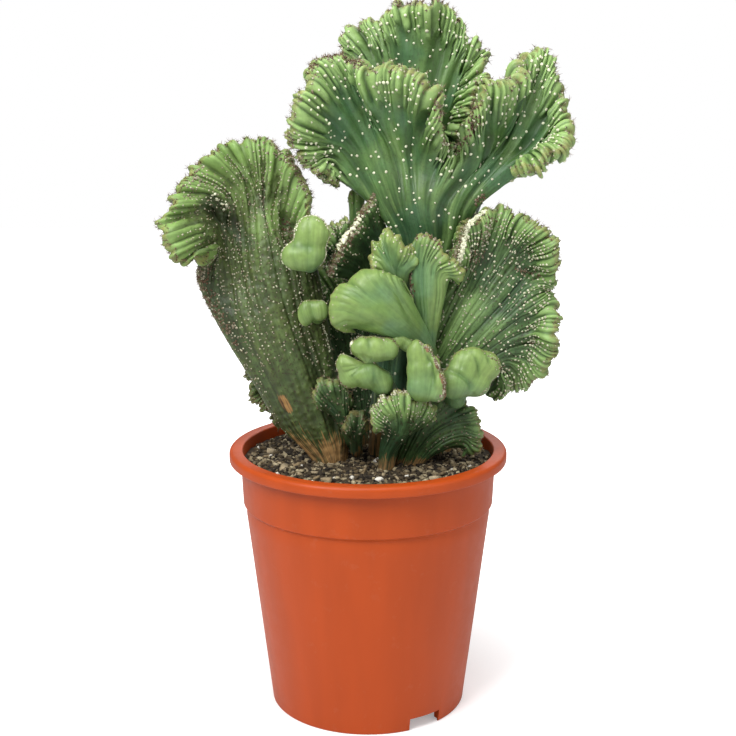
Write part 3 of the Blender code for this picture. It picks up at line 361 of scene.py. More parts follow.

# Painted light (above 0), in the fresh crown colour, and painted shade (below 0) at places on a
# stem's skin: two ends, each by x and height in millimetres, how far it reaches and how strong it is.
PAINTED_LIGHT_AND_SHADE = {
    "right_crest": [((46, 276), (74, 310), 24, 0.65), ((56, 272), (96, 294), 18, 0.45),
                    ((48, 280), (62, 335), 18, 0.45), ((76, 372), (86, 345), 9, -0.5),
                    ((70, 372), (63, 346), 6, -0.7)],
    "middle_fan": [((50, 364), (55, 346), 6, 0.65), ((55, 346), (48, 300), 9, 0.6),
                   ((62, 342), (68, 334), 6, 0.85), ((34, 356), (38, 310), 7, -0.45),
                   ((28, 340), (31, 318), 8, -0.9)],
    "top_front_crest": [((10, 190), (22, 300), 40, -0.9), ((34, 330), (46, 395), 50, -0.3)],
    "left_crest": [((-122, 335), (-92, 280), 12, -0.7), ((-25, 200), (-55, 250), 40, -0.3),
                   ((-114, 386), (-90, 358), 9, -0.8), ((-78, 368), (-50, 392), 16, 0.5),
                   ((-94, 392), (-80, 410), 16, 0.4)],
    "low_ribbed_crest": [((10, 190), (14, 214), 18, -0.75), ((4, 246), (44, 246), 16, 0.9)],
    "low_left_knob": [((-10, 200), (-8, 235), 20, -0.85)],
    "low_left_lobe": [((-10, 205), (-28, 258), 30, -0.35)],
    "left_stub": [((-45, 308), (-34, 310), 20, -0.3)],
    "edge_fan": [((10, 300), (-20, 340), 30, -0.5)],
}

# Seams of old wool and spines: the piece they grow on, the line they follow, how far they
# spread, the distance between cushions, their size and brownness, and the number and length of
# their spines. Lengths are in millimetres.
SEAMS = [
    ("top_front_crest", [(-40, -26, 482), (-37, -20, 486), (-20, 4, 490), (-4, -16, 484)],
     2.8, 0.5, 0.9, 0.85, 3, 3.2),
    ("top_front_crest", [(49, -46, 458), (48, -36, 447), (51, -18, 434), (56, -8, 428)],
     3.4, 0.5, 0.9, 0.8, 3, 3),
    ("top_front_crest", [(60, -10, 424), (70, -14, 430), (75, -36, 455)], 3, 0.5, 0.9, 0.85, 3, 3),
    ("top_front_crest", [(-56, -30, 436), (-46, -22, 416), (-22, -8, 398)], 2.6, 0.8, 0.9, 0.7, 2, 2.6),
    ("top_rear_crest", [(14, 30, 522), (28, 18, 527), (42, 10, 529), (56, 18, 528)],
     2.2, 0.7, 0.9, 0.75, 3, 2.8),
    ("lower_right_fan", [(36, -16, 248), (52, -20, 252), (68, -24, 248)], 2.6, 0.6, 0.9, 0.8, 3, 2.4),
    ("edge_fan", [(5, -10, 394), (-1, -16, 384), (-8, -23, 375)], 2, 0.5, 1.1, 0.85, 2, 2.4),
    ("edge_fan", [(-6, -23, 377), (-14, -28, 367), (-21, -31, 357)], 1.8, 0.25, 1.3, 0.0, 0, 1),
    ("edge_fan", [(-6, -20, 372), (-15, -26, 361), (-22, -29, 349), (-28, -29, 336)],
     3, 0.4, 1, 0.85, 3, 2.4),
    ("curled_knob", [(-33, -4, 340), (-36, -6, 352), (-28, -6, 364), (-14, -2, 372)],
     3, 0.9, 1, 0.45, 2, 2),
    ("right_crest", [(84, -16, 381), (78, -18, 376.5), (72.5, -20, 371), (70, -22, 363), (68, -24, 354),
     (65.5, -26, 344)], 1.2, 0.13, 1.1, 0.0, 0, 1.8),
    ("right_crest", [(72, -20, 372), (67, -22, 363), (64, -26, 354), (62, -26, 346)],
     2.2, 0.35, 0.8, 0.7, 2, 2.2),
    ("right_crest", [(92, -10, 376), (85, -14, 366), (80, -16, 354), (76, -18, 338)],
     4.4, 0.5, 0.8, 0.75, 3, 2.4),
    ("right_crest", [(107, -14, 339), (117, -14, 336), (127, -12, 333)], 1.8, 0.7, 0.8, 0.85, 3, 2),
    ("top_front_crest", [(84, 0, 389), (78, 0, 384)], 2, 0.3, 1.2, 0.9, 2, 2),
    ("lobed_pad", [(-18, -52, 294.5), (-15, -52, 293.5)], 1, 0.4, 1.8, 0.0, 0, 1),
    ("middle_fan", [(34, -24, 362), (43, -28, 364), (52, -26, 357)], 2, 0.8, 1.1, 0.8, 2, 2),
    ("middle_fan", [(27, -26, 338), (30, -26, 329), (31, -26, 320)], 2.6, 0.4, 0.9, 0.9, 2, 1.8),
    ("left_crest", [(-118, -12, 346), (-124, -2, 330), (-117, -2, 313), (-106, -2, 296), (-93, -2, 282)],
     5, 0.4, 1, 0.85, 3, 3),
    ("left_crest", [(-118, -12, 412), (-124, -20, 404), (-130, -26, 394)], 4, 0.6, 1, 0.6, 2, 2.4),
    ("left_crest", [(-112, -26, 396), (-106, -26, 390), (-102, -24, 386)], 2, 0.8, 1.1, 0.1, 1, 1.8),
    ("left_crest", [(-72, 0, 426), (-60, -6, 420), (-52, -12, 413), (-46, -14, 396)],
     6, 0.5, 0.9, 0.65, 3, 2.8),
    ("left_crest", [(-60, -12, 374), (-54, -12, 366), (-52, -10, 354)], 5, 0.5, 1, 0.9, 3, 2.6),
    ("scarred_pad", [(36, -58, 293.5), (43, -62, 289), (48, -64, 280), (52, -64, 270), (54, -62, 259),
     (50, -58, 251)], 1.2, 0.4, 0.8, 0.7, 1, 1),
    ("lobed_pad", [(-22, -50, 272), (-20, -52, 263), (-12, -50, 257.5), (0, -50, 256.5)],
     0.6, 0.7, 0.6, 0.8, 1, 1),
    ("lobed_pad", [(-12, -54, 293), (-4, -54, 296.5), (4, -52, 296), (14, -50, 295), (20, -48, 290)],
     0.6, 0.7, 0.6, 0.8, 1, 1),
    ("right_pad", [(86, -44, 280), (94, -42, 274), (94, -42, 264), (86, -42, 256), (80, -42, 250)],
     0.8, 0.7, 0.6, 0.75, 1, 1),
    ("low_ribbed_crest", [(3, -49, 238), (10, -54, 252), (22, -56, 258), (35, -55, 254), (46, -49, 246)],
     3, 0.6, 1, 0.35, 2, 2),
    ("left_crest", [(-34, -12, 298), (-31, -14, 289), (-28, -14, 277)], 0.6, 0.7, 0.8, 0.0, 0, 1),
]

# How far above the soil old skin is corky, in millimetres: the usual reach and that of some stems.
CORK_USUAL = 10
CORK_RISE = {"left_crest": 40, "top_front_crest": 60, "low_ribbed_crest": 18, "low_left_knob": 20,
             "back_fan": 20}
# Scars: a line on the skin and how far the cork reaches from it, in millimetres.
SCARS = {
    "left_crest": [([(-64, -20, 241), (-60, -20, 236)], 6)],
    "scarred_pad": [([(37, -60, 294), (45, -64, 287), (50, -66, 276), (54.5, -64, 263),
                      (52, -60, 251)], 3.4)],
}

# Mesh steps on a crested stem: across at the crown, down the ribs' fingers, and then longer.
COLUMN_STEP = 0.00085
MOST_COLUMNS = 600
ROW_STEP = 0.0014
FINE_HEIGHT = 0.030
ROW_GROWTH = 1.13
LONGEST_ROW_STEP = 0.0065
CROWN_STEPS = 6
# Where along its width a sheet's height is measured.
KNOT_COLUMNS = (0.1, 0.3, 0.5, 0.7, 0.9)
# Long soft folds below the fingers: their depth as a share of the ribs', and how much painted light
# and shade they put on the skin.
NECK_FOLD = 0.28
FOLD_SHADE = 0.12
# Painted shade in a crease darkens the skin by at most this share.
CREASE_SHADE = 0.6
# The sheet's normals are smoothed over this reach. Its crown sways and rises in waves of these
# lengths, which die down this far from its sides.
SMOOTH_REACH = 0.005
SWAY_LENGTHS = (0.019, 0.027, 0.041)
RISE_LENGTHS = (0.010, 0.016, 0.029)
CALM_SIDE = 0.012
# A sheet that folds back on itself is slimmed, down to a least half thickness.
FOLD_REACH = 0.010
FOLD_RATIO = 0.75
FOLD_SHARE = 0.42
SLIMMEST = 0.0015

Surface = namedtuple("Surface", "name habit u across to_crown sides normals ridge fresh finger phase")


def linear(hex_colour):
    """sRGB hex to linear RGBA."""
    channels = [int(hex_colour[i:i + 2], 16) / 255 for i in (0, 2, 4)]
    return [c / 12.92 if c <= 0.04045 else ((c + 0.055) / 1.055) ** 2.4 for c in channels] + [1.0]


def colour(hex_colour):
    """sRGB hex to the three linear channels a colour property takes."""
    return linear(hex_colour)[:3]


def seeded(name):
    """A random generator that gives the same numbers on each run for a piece's name."""
    return random.Random(sum(ord(letter) * (place + 1) for place, letter in enumerate(name)))


def metres(millimetres):
    """Lengths from a table of millimetres, as an array in metres."""
    return np.array(millimetres) / 1000


def smoothstep(low, high, value):
    """0 below low, 1 above high, and a smooth rise between."""
    x = np.clip((value - low) / (high - low), 0.0, 1.0)
    return x * x * (3 - 2 * x)


# ---------------------------------------------------------------------------------------------
# Materials


def add_node(tree, kind, sockets=None, **settings):
    """Add a node, with its settings, and each socket either linked or set to a value."""
    made = tree.nodes.new(kind)
    for key, value in settings.items():
        setattr(made, key, value)
    for socket, value in (sockets or {}).items():
        if isinstance(value, bpy.types.NodeSocket):
            tree.links.new(value, made.inputs[socket])
        else:
            made.inputs[socket].default_value = value
    return made


def new_material(name):
    """An empty material and its tree's output node."""
    made = bpy.data.materials.new(name)
    made.use_nodes = True
    made.node_tree.nodes.clear()
    return made, made.node_tree, made.node_tree.nodes.new("ShaderNodeOutputMaterial")


def blend_colours(tree, factor, first, second, mode="MIX"):
    """The colour output of a mix of two colours."""
    made = add_node(tree, "ShaderNodeMix", {0: factor, 6: first, 7: second},
                    data_type="RGBA", blend_type=mode, clamp_factor=True)
    return made.outputs[2]


def ramped(tree, value, low, high, to_low=0.0, to_high=1.0):
    """A value stretched from one range to another and clamped there."""
    made = add_node(tree, "ShaderNodeMapRange",
                    {0: value, 1: low, 2: high, 3: to_low, 4: to_high}, clamp=True)
    return made.outputs[0]


def maths(tree, operation, first, second):
    """The result of a sum on two values."""
    return add_node(tree, "ShaderNodeMath", {0: first, 1: second}, operation=operation).outputs[0]


def noise_at(tree, place, scale, detail, **more):
    """The height of a noise texture at a place."""
    sockets = {"Vector": place, "Scale": scale, "Detail": detail, **more}
    return add_node(tree, "ShaderNodeTexNoise", sockets).outputs[0]


def stretched(tree, place, scale):
    """A place with each axis scaled, for noise that is longer one way than another."""
    return add_node(tree, "ShaderNodeMapping", {0: place, 3: scale}).outputs[0]


def object_place(tree):
    """The place on the piece, in metres."""
    return add_node(tree, "ShaderNodeTexCoord").outputs["Object"]


def own_tint(tree):
    """The tint stored on each scattered copy."""
    return add_node(tree, "ShaderNodeAttribute", attribute_name="tint").outputs["Fac"]


def bumped(tree, height, strength, distance):
    """The normal of a surface with a relief."""
    sockets = {"Height": height, "Strength": strength, "Distance": distance}
    return add_node(tree, "ShaderNodeBump", sockets).outputs[0]


def end_in_shader(tree, output, sockets):
    """Close a material with a Principled shader."""
    shader = add_node(tree, "ShaderNodeBsdfPrincipled", sockets)
    tree.links.new(shader.outputs[0], output.inputs[0])


def stem_skin(name, tones, bloom_share, streak_share, speck_share, roughness, tubercles=0.0):
    """Waxy epidermis of a column cactus.

    Ridges are lighter than the grooves between them, with painted shade in the grooves, folds,
    creases and some dark places and painted light at others; the skin is fresher towards the crown,
    a bluish bloom of wax lies in patches, fine streaks run with the growth, and old skin turns to cork.
    """
    groove_shade, flesh, tip, bloom, cork = tones
    made, tree, output = new_material(name)
    # The skin layer holds the tone of ridges, folds and creases with their painted shade, the fresh crown
    # colour with painted light at some places, the cork, and the growth line.
    skin = add_node(tree, "ShaderNodeAttribute", attribute_name="skin")
    parts = add_node(tree, "ShaderNodeSeparateColor", {0: skin.outputs["Color"]})
    ridge, crown, scar = parts.outputs[0], parts.outputs[1], parts.outputs[2]
    growth = add_node(tree, "ShaderNodeAttribute", attribute_name="growth").outputs["Vector"]
    place = object_place(tree)

    # Streaks 1.6 mm apart and ten times as long, mottling of 4 mm, bloom in 30 mm patches, and
    # broad bands 9 mm apart.
    streaks = noise_at(tree, stretched(tree, growth, (620.0, 60.0, 60.0)), 1.0, 3.0)
    mottle = noise_at(tree, place, 240.0, 4.0)
    patches = noise_at(tree, place, 34.0, 2.0)
    grain = noise_at(tree, place, 1500.0, 2.0)
    broad = noise_at(tree, stretched(tree, growth, (110.0, 10.0, 10.0)), 1.0, 3.0)

    # Painted shade: the groove colour wherever the skin's tone is low, in grooves, folds, creases and shaded
    # places.
    base = blend_colours(tree, ramped(tree, ridge, 0.15, 0.75), linear(groove_shade), linear(flesh))
    base = blend_colours(tree, ramped(tree, broad, 0.48, 0.72, 0.0, 0.45), base, linear(tip))
    # The fresh crown colour, with its painted light, is weaker in the grooves' painted shade.
    fresh = maths(tree, "MULTIPLY", crown, ramped(tree, ridge, 0.3, 0.9, 0.25, 1.0))
    base = blend_colours(tree, fresh, base, linear(tip))
    waxy = maths(tree, "MULTIPLY", ramped(tree, patches, 0.42, 0.62),
                 ramped(tree, crown, 0.0, 0.7, bloom_share, 0.0))
    base = blend_colours(tree, waxy, base, linear(bloom))
    line = maths(tree, "MULTIPLY", skin.outputs["Alpha"], ramped(tree, mottle, 0.35, 0.6, 0.1, 0.6))
    base = blend_colours(tree, line, base, linear("8d7c4e"))
    streaked = blend_colours(tree, streak_share, base, streaks, "OVERLAY")
    mottled = blend_colours(tree, 0.30, streaked, mottle, "OVERLAY")
    torn = maths(tree, "ADD", maths(tree, "MULTIPLY", streaks, 0.7), maths(tree, "MULTIPLY", broad, 0.5))
    corky = maths(tree, "ADD", scar, ramped(tree, torn, 0.40, 0.80, -0.55, 0.55))
    corky = maths(tree, "MULTIPLY", ramped(tree, corky, 0.42, 0.58), ramped(tree, scar, 0.0, 0.1))
    # Cork is tan near the soil and dark brown higher up.
    height = add_node(tree, "ShaderNodeSeparateXYZ", {0: place}).outputs["Z"]
    young_cork = blend_colours(tree, ramped(tree, height, 0.243, 0.252), linear(cork), linear("806448"))
    cork_tone = blend_colours(tree, ramped(tree, torn, 0.50, 0.66), linear("4a3826"), young_cork)

    relief = maths(tree, "ADD", maths(tree, "MULTIPLY", streaks, 0.6), maths(tree, "MULTIPLY", mottle, 0.8))
    relief = maths(tree, "ADD", relief, maths(tree, "MULTIPLY", grain, 0.15))
    if tubercles:
        # Low bumps 4.5 mm apart round the areoles of old skin, with painted shade in the hollows between
        # them.
        bumps = add_node(tree, "ShaderNodeTexVoronoi", {"Vector": place, "Scale": 230.0},
                         feature="SMOOTH_F1").outputs["Distance"]
        bumps = maths(tree, "MULTIPLY", bumps, ramped(tree, crown, 0.1, 0.6, -tubercles, 0.0))
        relief = maths(tree, "ADD", relief, bumps)
        hollow_shade = maths(tree, "MULTIPLY", bumps, -0.9 / tubercles)
        mottled = blend_colours(tree, hollow_shade, mottled, linear(groove_shade))
    # Dark stubs of shed spines, a millimetre across, on the older skin.
    shed = ramped(tree, noise_at(tree, place, 620.0, 1.0), 0.58, 0.68)
    shed = maths(tree, "MULTIPLY", shed, ramped(tree, crown, 0.2, 0.9, speck_share, 0.0))
    mottled = blend_colours(tree, shed, mottled, linear("33291c"))
    finished = blend_colours(tree, corky, mottled, cork_tone)
    normal = bumped(tree, relief, 0.45, 0.0007)
    matt = ramped(tree, corky, 0.0, 1.0, roughness, 0.9)
    end_in_shader(tree, output, {"Base Color": finished, "Roughness": matt, "IOR": 1.42, "Normal": normal})
    return made


def felt_wool():
    """Felted areole wool: cream where young and brown where old, quite without gloss."""
    made, tree, output = new_material("felted_wool")
    tint = own_tint(tree)
    fluff = noise_at(tree, object_place(tree), 2600.0, 2.0)
    base = blend_colours(tree, tint, linear("e4e6c8"), linear("5c4634"))
    base = blend_colours(tree, 0.35, base, fluff, "OVERLAY")
    normal = bumped(tree, fluff, 0.5, 0.0003)
    end_in_shader(tree, output, {"Base Color": base, "Roughness": 0.95, "IOR": 1.4, "Normal": normal})
    return made


def spine_horn():
    """Spine horn: hard and slightly glossy, from straw to dark red-brown."""
    made, tree, output = new_material("spine_horn")
    base = blend_colours(tree, own_tint(tree), linear("a08468"), linear("3c241b"))
    end_in_shader(tree, output, {"Base Color": base, "Roughness": 0.45, "IOR": 1.54})
    return made


def moulded_polypropylene(tone, roughness):
    """Injection-moulded polypropylene: dyed through, satin, with faint flow marks and scuffs."""
    made, tree, output = new_material("moulded_polypropylene")
    place = object_place(tree)
    # Flow marks run up the wall, about 18 mm apart; the mould's grain is under a millimetre.
    marks = noise_at(tree, stretched(tree, place, (55.0, 55.0, 7.0)), 1.0, 2.0)
    grain = noise_at(tree, place, 1300.0, 3.0)
    dust = noise_at(tree, place, 90.0, 5.0, Roughness=0.7)
    deep = [channel * 0.95 for channel in tone] + [1.0]
    pale = [min(channel * 1.04, 1.0) for channel in tone] + [1.0]
    base = blend_colours(tree, ramped(tree, marks, 0.35, 0.65), deep, pale)
    base = blend_colours(tree, ramped(tree, dust, 0.60, 0.80, 0.0, 0.10), base, linear("b89880"))
    relief = maths(tree, "ADD", grain, maths(tree, "MULTIPLY", marks, 1.5))
    gloss = ramped(tree, dust, 0.3, 0.8, roughness - 0.03, roughness + 0.10)
    end_in_shader(tree, output, {"Base Color": base, "Roughness": gloss, "IOR": 1.49,
                                 "Specular IOR Level": 0.28, "Normal": bumped(tree, relief, 0.12, 0.0003)})
    return made


def crumbly(name, dark, mid, pale, scale):
    """Matt mineral or plant crumbs in three tones, each crumb with its own tint."""
    made, tree, output = new_material(name)
    tint = own_tint(tree)
    grit = noise_at(tree, object_place(tree), scale, 5.0, Roughness=0.65)
    base = blend_colours(tree, ramped(tree, tint, 0.0, 0.5), linear(dark), linear(mid))
    base = blend_colours(tree, ramped(tree, tint, 0.5, 1.0), base, linear(pale))
    base = blend_colours(tree, 0.7, base, grit, "OVERLAY")
    normal = bumped(tree, grit, 0.9, 0.0008)
    end_in_shader(tree, output, {"Base Color": base, "Roughness": 0.92, "IOR": 1.45, "Normal": normal})
    return made


def stem_materials():
    # The first tone of each skin is the groove colour, a painted shade.
    """The skins of the stems, by the name a habit gives."""
    return {
        "crest_skin": stem_skin("waxy_crest_skin", ("1d3416", "4b6b36", "94b36c", "42694b", "967446"),
                                0.55, 0.35, 0.25, 0.44),
        "dotted_skin": stem_skin("olive_crest_skin", ("2a351a", "566431", "82a35a", "40593a", "967446"),
                                 0.25, 0.55, 0.75, 0.5, 5.0),
        "fan_skin": stem_skin("ribbed_fan_skin", ("20361a", "4b6837", "84a35f", "3c6046", "86683e"),
                              0.40, 0.45, 0.75, 0.46, 1.6),
        "pad_skin": stem_skin("young_pad_skin", ("456330", "6b8748", "8ea55c", "5e8262", "8a6840"),
                              0.55, 0.30, 0.0, 0.4),
    }


# ---------------------------------------------------------------------------------------------
# Mesh helpers


# Where each kind of mesh attribute keeps its values.
LAYER_VALUES = {"FLOAT": "value", "FLOAT_VECTOR": "vector", "FLOAT_COLOR": "color"}


def add_layer(mesh, name, kind, values):
    """Store values on a mesh's points."""
    layer = mesh.attributes.new(name, kind, "POINT")
    layer.data.foreach_set(LAYER_VALUES[kind], np.ravel(values))


def add_object(name, data):
    """A new object in the scene."""
    made = bpy.data.objects.new(name, data)
    bpy.context.scene.collection.objects.link(made)
    return made


def finish_piece(name, bm, look, replaced=(), sharp_angle=None):
    """Make a bmesh a finished piece that rides on the plant and stands for the solid model's nodes."""
    mesh = bpy.data.meshes.new(name)
    bm.to_mesh(mesh)
    bm.free()
    mesh.materials.append(look)
    mesh.shade_smooth()
    if sharp_angle is not None:
        mesh.set_sharp_from_angle(angle=math.radians(sharp_angle))
    made = add_object(name, mesh)
    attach(made, BODY)
    if replaced:
        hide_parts(*replaced)
    return made


def scatter(name, templates, copies, look, replaced=()):
    """One piece from many placed copies; a copy is (template number, matrix, tint)."""
    shapes = []
    for template in templates:
        mesh = bpy.data.meshes.new(name + "_template")
        template.to_mesh(mesh)
        template.free()
        resting = np.empty(len(mesh.vertices) * 3)
        mesh.vertices.foreach_get("co", resting)
        shapes.append((mesh, resting))
    bm = bmesh.new()
    tints = []
    for number, matrix, tint in copies:
        mesh, resting = shapes[number]
        mesh.vertices.foreach_set("co", resting)
        mesh.transform(matrix)
        bm.from_mesh(mesh)
        tints.append(np.full(len(mesh.vertices), tint))
    for mesh, _ in shapes:
        bpy.data.meshes.remove(mesh)
    made = finish_piece(name, bm, look, replaced)
    add_layer(made.data, "tint", "FLOAT", np.concatenate(tints))
    return made


def facing(normal, spin):
    """A rotation that turns +Z to a direction, after a turn about it."""
    upright = Vector((0, 0, 1)).rotation_difference(Vector(normal))
    return upright.to_matrix().to_4x4() @ Matrix.Rotation(spin, 4, "Z")


def check_closed(bm, name):
    """Raise an error if a mesh has an open or a doubled edge."""
    if any(not edge.is_manifold for edge in bm.edges):
        raise RuntimeError(name + " is not closed")


# ---------------------------------------------------------------------------------------------
# Stems


def chord_knots(points):
    """Distance walked from the first point to each of them."""
    steps = np.linalg.norm(np.diff(points, axis=0), axis=-1)
    return np.concatenate([[0.0], np.cumsum(steps)])


def smooth_curve(points, knots, places):
    """A smooth curve through points, which may be whole rows, at places along its knots."""
    last = len(points) - 1
    low = np.maximum(np.arange(last + 1) - 1, 0)
    high = np.minimum(np.arange(last + 1) + 1, last)
    shape = (-1,) + (1,) * (points.ndim - 1)
    slopes = (points[high] - points[low]) / (knots[high] - knots[low]).reshape(shape)
    first = np.clip(np.searchsorted(knots, places, side="right") - 1, 0, last - 1)
    span = knots[first + 1] - knots[first]
    x = ((places - knots[first]) / span).reshape(shape)
    span = span.reshape(shape)
    start = points[first] * (2 * x**3 - 3 * x**2 + 1)
    start += slopes[first] * span * (x**3 - 2 * x**2 + x)
    end = points[first + 1] * (3 * x**2 - 2 * x**3)
    return start + end + slopes[first + 1] * span * (x**3 - x**2)


def end_rounded_steps(count, edge):
    """0 to 1 in even steps that crowd together within a short reach of either end."""
    near = edge * (1 - np.cos(np.linspace(0, math.pi / 2, 5)[:-1]))
    return np.concatenate([near, np.linspace(edge, 1 - edge, count), 1 - near[::-1]])


def smoothed(values, along_rows, along_columns):
    """Values averaged with their neighbours at a distance of some rows and columns."""
    for steps, axis in ((along_rows, 0), (along_columns, 1)):
        if steps:
            size = values.shape[axis]
            places = np.arange(size)
            before = np.take(values, np.maximum(places - steps, 0), axis=axis)
            after = np.take(values, np.minimum(places + steps, size - 1), axis=axis)
            values = (2 * values + before + after) / 4
    return values


def unit(vectors):
    """The vectors at length one."""
    return vectors / (np.linalg.norm(vectors, axis=-1, keepdims=True) + 1e-12)


def grid_normals(points):
    """Normals of a grid of points."""
    return unit(np.cross(np.gradient(points, axis=1), np.gradient(points, axis=0)))


def fold_limit(middle):
    """The half thickness that keeps a folded sheet clear of itself, at each grid point."""
    stride = max(1, middle.shape[1] // 110)
    coarse = middle[:, ::stride]
    limit = np.ones(coarse.shape[:2])
    for row, allowed in zip(coarse, limit):
        walked = chord_knots(row)
        walked = np.abs(walked[:, None] - walked[None])
        straight = np.linalg.norm(row[:, None] - row[None], axis=2)
        folded = (walked > FOLD_REACH) & (straight < FOLD_RATIO * walked)
        allowed[:] = np.where(folded, FOLD_SHARE * straight, 1.0).min(axis=1)
    columns = np.arange(middle.shape[1])
    return np.array([np.interp(columns, columns[::stride], row) for row in limit])


def crown_distances(height, rounding):
    """Distances below the crown of a sheet's rows: close where it rounds off and in its fingers."""
    distances = list(rounding * (1 - np.cos(np.linspace(0, math.pi / 2, CROWN_STEPS + 1))))
    step = ROW_STEP
    while distances[-1] + step < height:
        distances.append(distances[-1] + step)
        if distances[-1] > FINE_HEIGHT:
            step = min(step * ROW_GROWTH, LONGEST_ROW_STEP)
    distances[-1] = height
    return np.array(distances)


def waves(places, lengths, rng):
    """A sum of waves of some lengths with random strengths and starts."""
    total = np.zeros_like(places)
    for length in lengths:
        total += rng.uniform(0.5, 1.0) * np.sin(places / length * math.tau + rng.uniform(0, math.tau))
    return total


def sheet_middle(stem, habit, rng):
    """The middle surface of a stem, its steps across, and its half thickness everywhere."""
    rows = [metres(row) for row in stem.rows]
    row_knots = [chord_knots(row) for row in rows]
    crown_length = row_knots[-1][-1]
    root_half, middle_half, crown_half = metres(stem.thickness) / 2
    edge = min(habit.plump * crown_half / crown_length, 0.3)
    count = int(min(max(crown_length / COLUMN_STEP, 40), MOST_COLUMNS))
    u = end_rounded_steps(count, edge)
    curves = np.array([smooth_curve(row, knots, u * knots[-1]) for row, knots in zip(rows, row_knots)])
    measured = [int(np.abs(u - share).argmin()) for share in KNOT_COLUMNS]
    steps = np.linalg.norm(np.diff(curves[:, measured], axis=0), axis=2).mean(axis=1)
    knots = np.concatenate([[0.0], np.cumsum(steps)])
    height = knots[-1]

    v = 1 - crown_distances(height, min(habit.plump * crown_half, 0.3 * height))[::-1] / height
    middle = smooth_curve(curves, knots, v * height)

    # Waves to and fro, and an uneven height, both stronger towards the crown.
    normal = grid_normals(middle)
    reach = max(1, int(SMOOTH_REACH / (crown_length / len(u))))
    for _ in range(4):
        normal = unit(smoothed(normal, 2, reach))
    upward = unit(np.gradient(middle, axis=0))
    sway = waves(u * crown_length, SWAY_LENGTHS, rng)
    rise = waves(u * crown_length, RISE_LENGTHS, rng)
    calm = np.minimum(np.minimum(u, 1 - u) * crown_length / CALM_SIDE, 1)
    sway, rise = (share * calm * values for share, values in zip(habit.wave, (sway, rise)))
    spread = np.minimum(1.25 * chord_row_lengths(middle) / crown_length, 1)[:, None]
    middle = middle + normal * (v[:, None] ** 2 * spread ** 2 * sway)[..., None]
    middle = middle + upward * (v[:, None] ** 6 * spread * rise)[..., None]

    half = np.interp(v, (0, 0.5, 1), (root_half, middle_half, crown_half))[:, None] * np.ones(len(u))
    limit = smoothed(smoothed(fold_limit(middle), 1, reach), 2, reach)
    half = np.minimum(half, np.maximum(limit, SLIMMEST))
    lengths = chord_row_lengths(middle)
    side = np.minimum(u, 1 - u)[None] * lengths[:, None] / (habit.plump * half)
    to_crown = np.linalg.norm(np.diff(middle[::-1], axis=0), axis=2).cumsum(axis=0)[::-1]
    to_crown = np.concatenate([to_crown, np.zeros((1, len(u)))])
    top = to_crown / (habit.plump * half)
    for distance in (side, top):
        half = half * np.sqrt(1 - (1 - np.minimum(distance, 1)) ** 2)
    return u, middle, normal, half, lengths, to_crown


def chord_row_lengths(middle):
    """Length of each row of a grid."""
    return np.linalg.norm(np.diff(middle, axis=1), axis=2).sum(axis=1)


def rib_field(u, lengths, to_crown, habit, rng):
    """The painted light and shade of the ribs and folds on the skin, how far they raise it, each one's
    finger, and their phase.
    """
    ribs = max(3, round(lengths[-1] / habit.rib))
    start = rng.uniform(0, math.tau)
    phase = ribs * u + 0.42 * np.sin(u * ribs * 1.1 + start) + 0.5 * np.sin(u * ribs * 0.37 + 2 * start)
    level = np.maximum(np.log2(0.72 * habit.rib * ribs / lengths), 0)
    whole = np.floor(level).astype(int)
    share = smoothstep(0.2, 0.8, level - whole)[:, None]
    steps = range(whole.max() + 2)
    ridges = np.array([np.abs(np.sin(math.pi * phase / 2**step)) ** (1.5 if step else 0.7) for step in steps])
    ridge = ridges[whole] * (1 - share) + ridges[whole + 1] * share
    halved = [phase / 2**step for step in steps]
    folds = np.array([np.sin(2.1 * part + start) + np.sin(1.2 * part + 3 * start) for part in halved])
    fold = folds[whole] * (1 - share) + folds[whole + 1] * share

    # Each rib has its own length of finger, and here and there a groove is a deep cleft.
    numbers = np.floor(phase).astype(int)
    numbers -= numbers.min()
    finger = np.array([rng.uniform(*habit.finger) for _ in range(numbers.max() + 2)])
    cleft = np.array([rng.random() ** 4 for _ in range(numbers.max() + 2)])
    into = phase - np.floor(phase)
    nearest = numbers + (into > 0.5)
    cleft = cleft[nearest] * np.exp(-(np.minimum(into, 1 - into) / 0.2) ** 2)
    finger = finger[numbers]
    deep = 1 - smoothstep(0, 0.005, to_crown - finger[None])
    knuckle = np.exp(-((to_crown - finger[None] + 0.001) / 0.003) ** 2) * ridges[0]
    depth = habit.neck + (habit.depth - habit.neck) * deep
    wide_enough = smoothstep(0.0, 0.03, lengths)[:, None]
    rise = depth * (ridge - 0.6) + 0.4 * habit.depth * knuckle - 0.9 * habit.depth * cleft[None] * deep
    rise += NECK_FOLD * habit.depth * fold * (1 - deep)
    # Painted shade: the skin is darker in the grooves, the more so where the ribs are deep, and the folds put
    # painted light on their backs and painted shade in their valleys.
    share = np.clip(depth / 0.0024, 0.05, 1)
    shade = 0.62 + (ridge - 0.62) * share + FOLD_SHADE * fold * (1 - deep)
    return np.clip(shade, 0, 1), rise * wide_enough, finger, phase


def creases_at(name, places, normals):
    """How deep the creases are and how much painted shade they put on the skin, at each point of a stem's
    skin.
    """
    pressed = np.zeros(places.shape[:-1])
    shade = np.zeros(places.shape[:-1])
    front = smoothstep(0.0, 0.4, -normals[..., 1])
    for line, *sizes in CREASES.get(name, ()):
        width, depth = metres(sizes)
        gone, passed = from_line(places[..., ::2], line)
        near = front * np.exp(-(gone / width) ** 2) * np.sin(math.pi * np.clip(passed, 0.04, 0.96)) ** 0.7
        pressed += depth * near
        shade = np.maximum(shade, CREASE_SHADE * near)
    return pressed, shade


def painted_light_and_shade_at(name, places):
    """How much painted light each point of a stem's skin gets, with painted shade below 0."""
    total = np.zeros(len(places))
    for start, end, reach, strength in PAINTED_LIGHT_AND_SHADE.get(name, ()):
        gone = from_line(places[:, ::2], [start, end])[0]
        near = strength * (1 - smoothstep(0.2 * metres(reach), metres(reach), gone))
        total = np.where(np.abs(near) > np.abs(total), near, total)
    return total


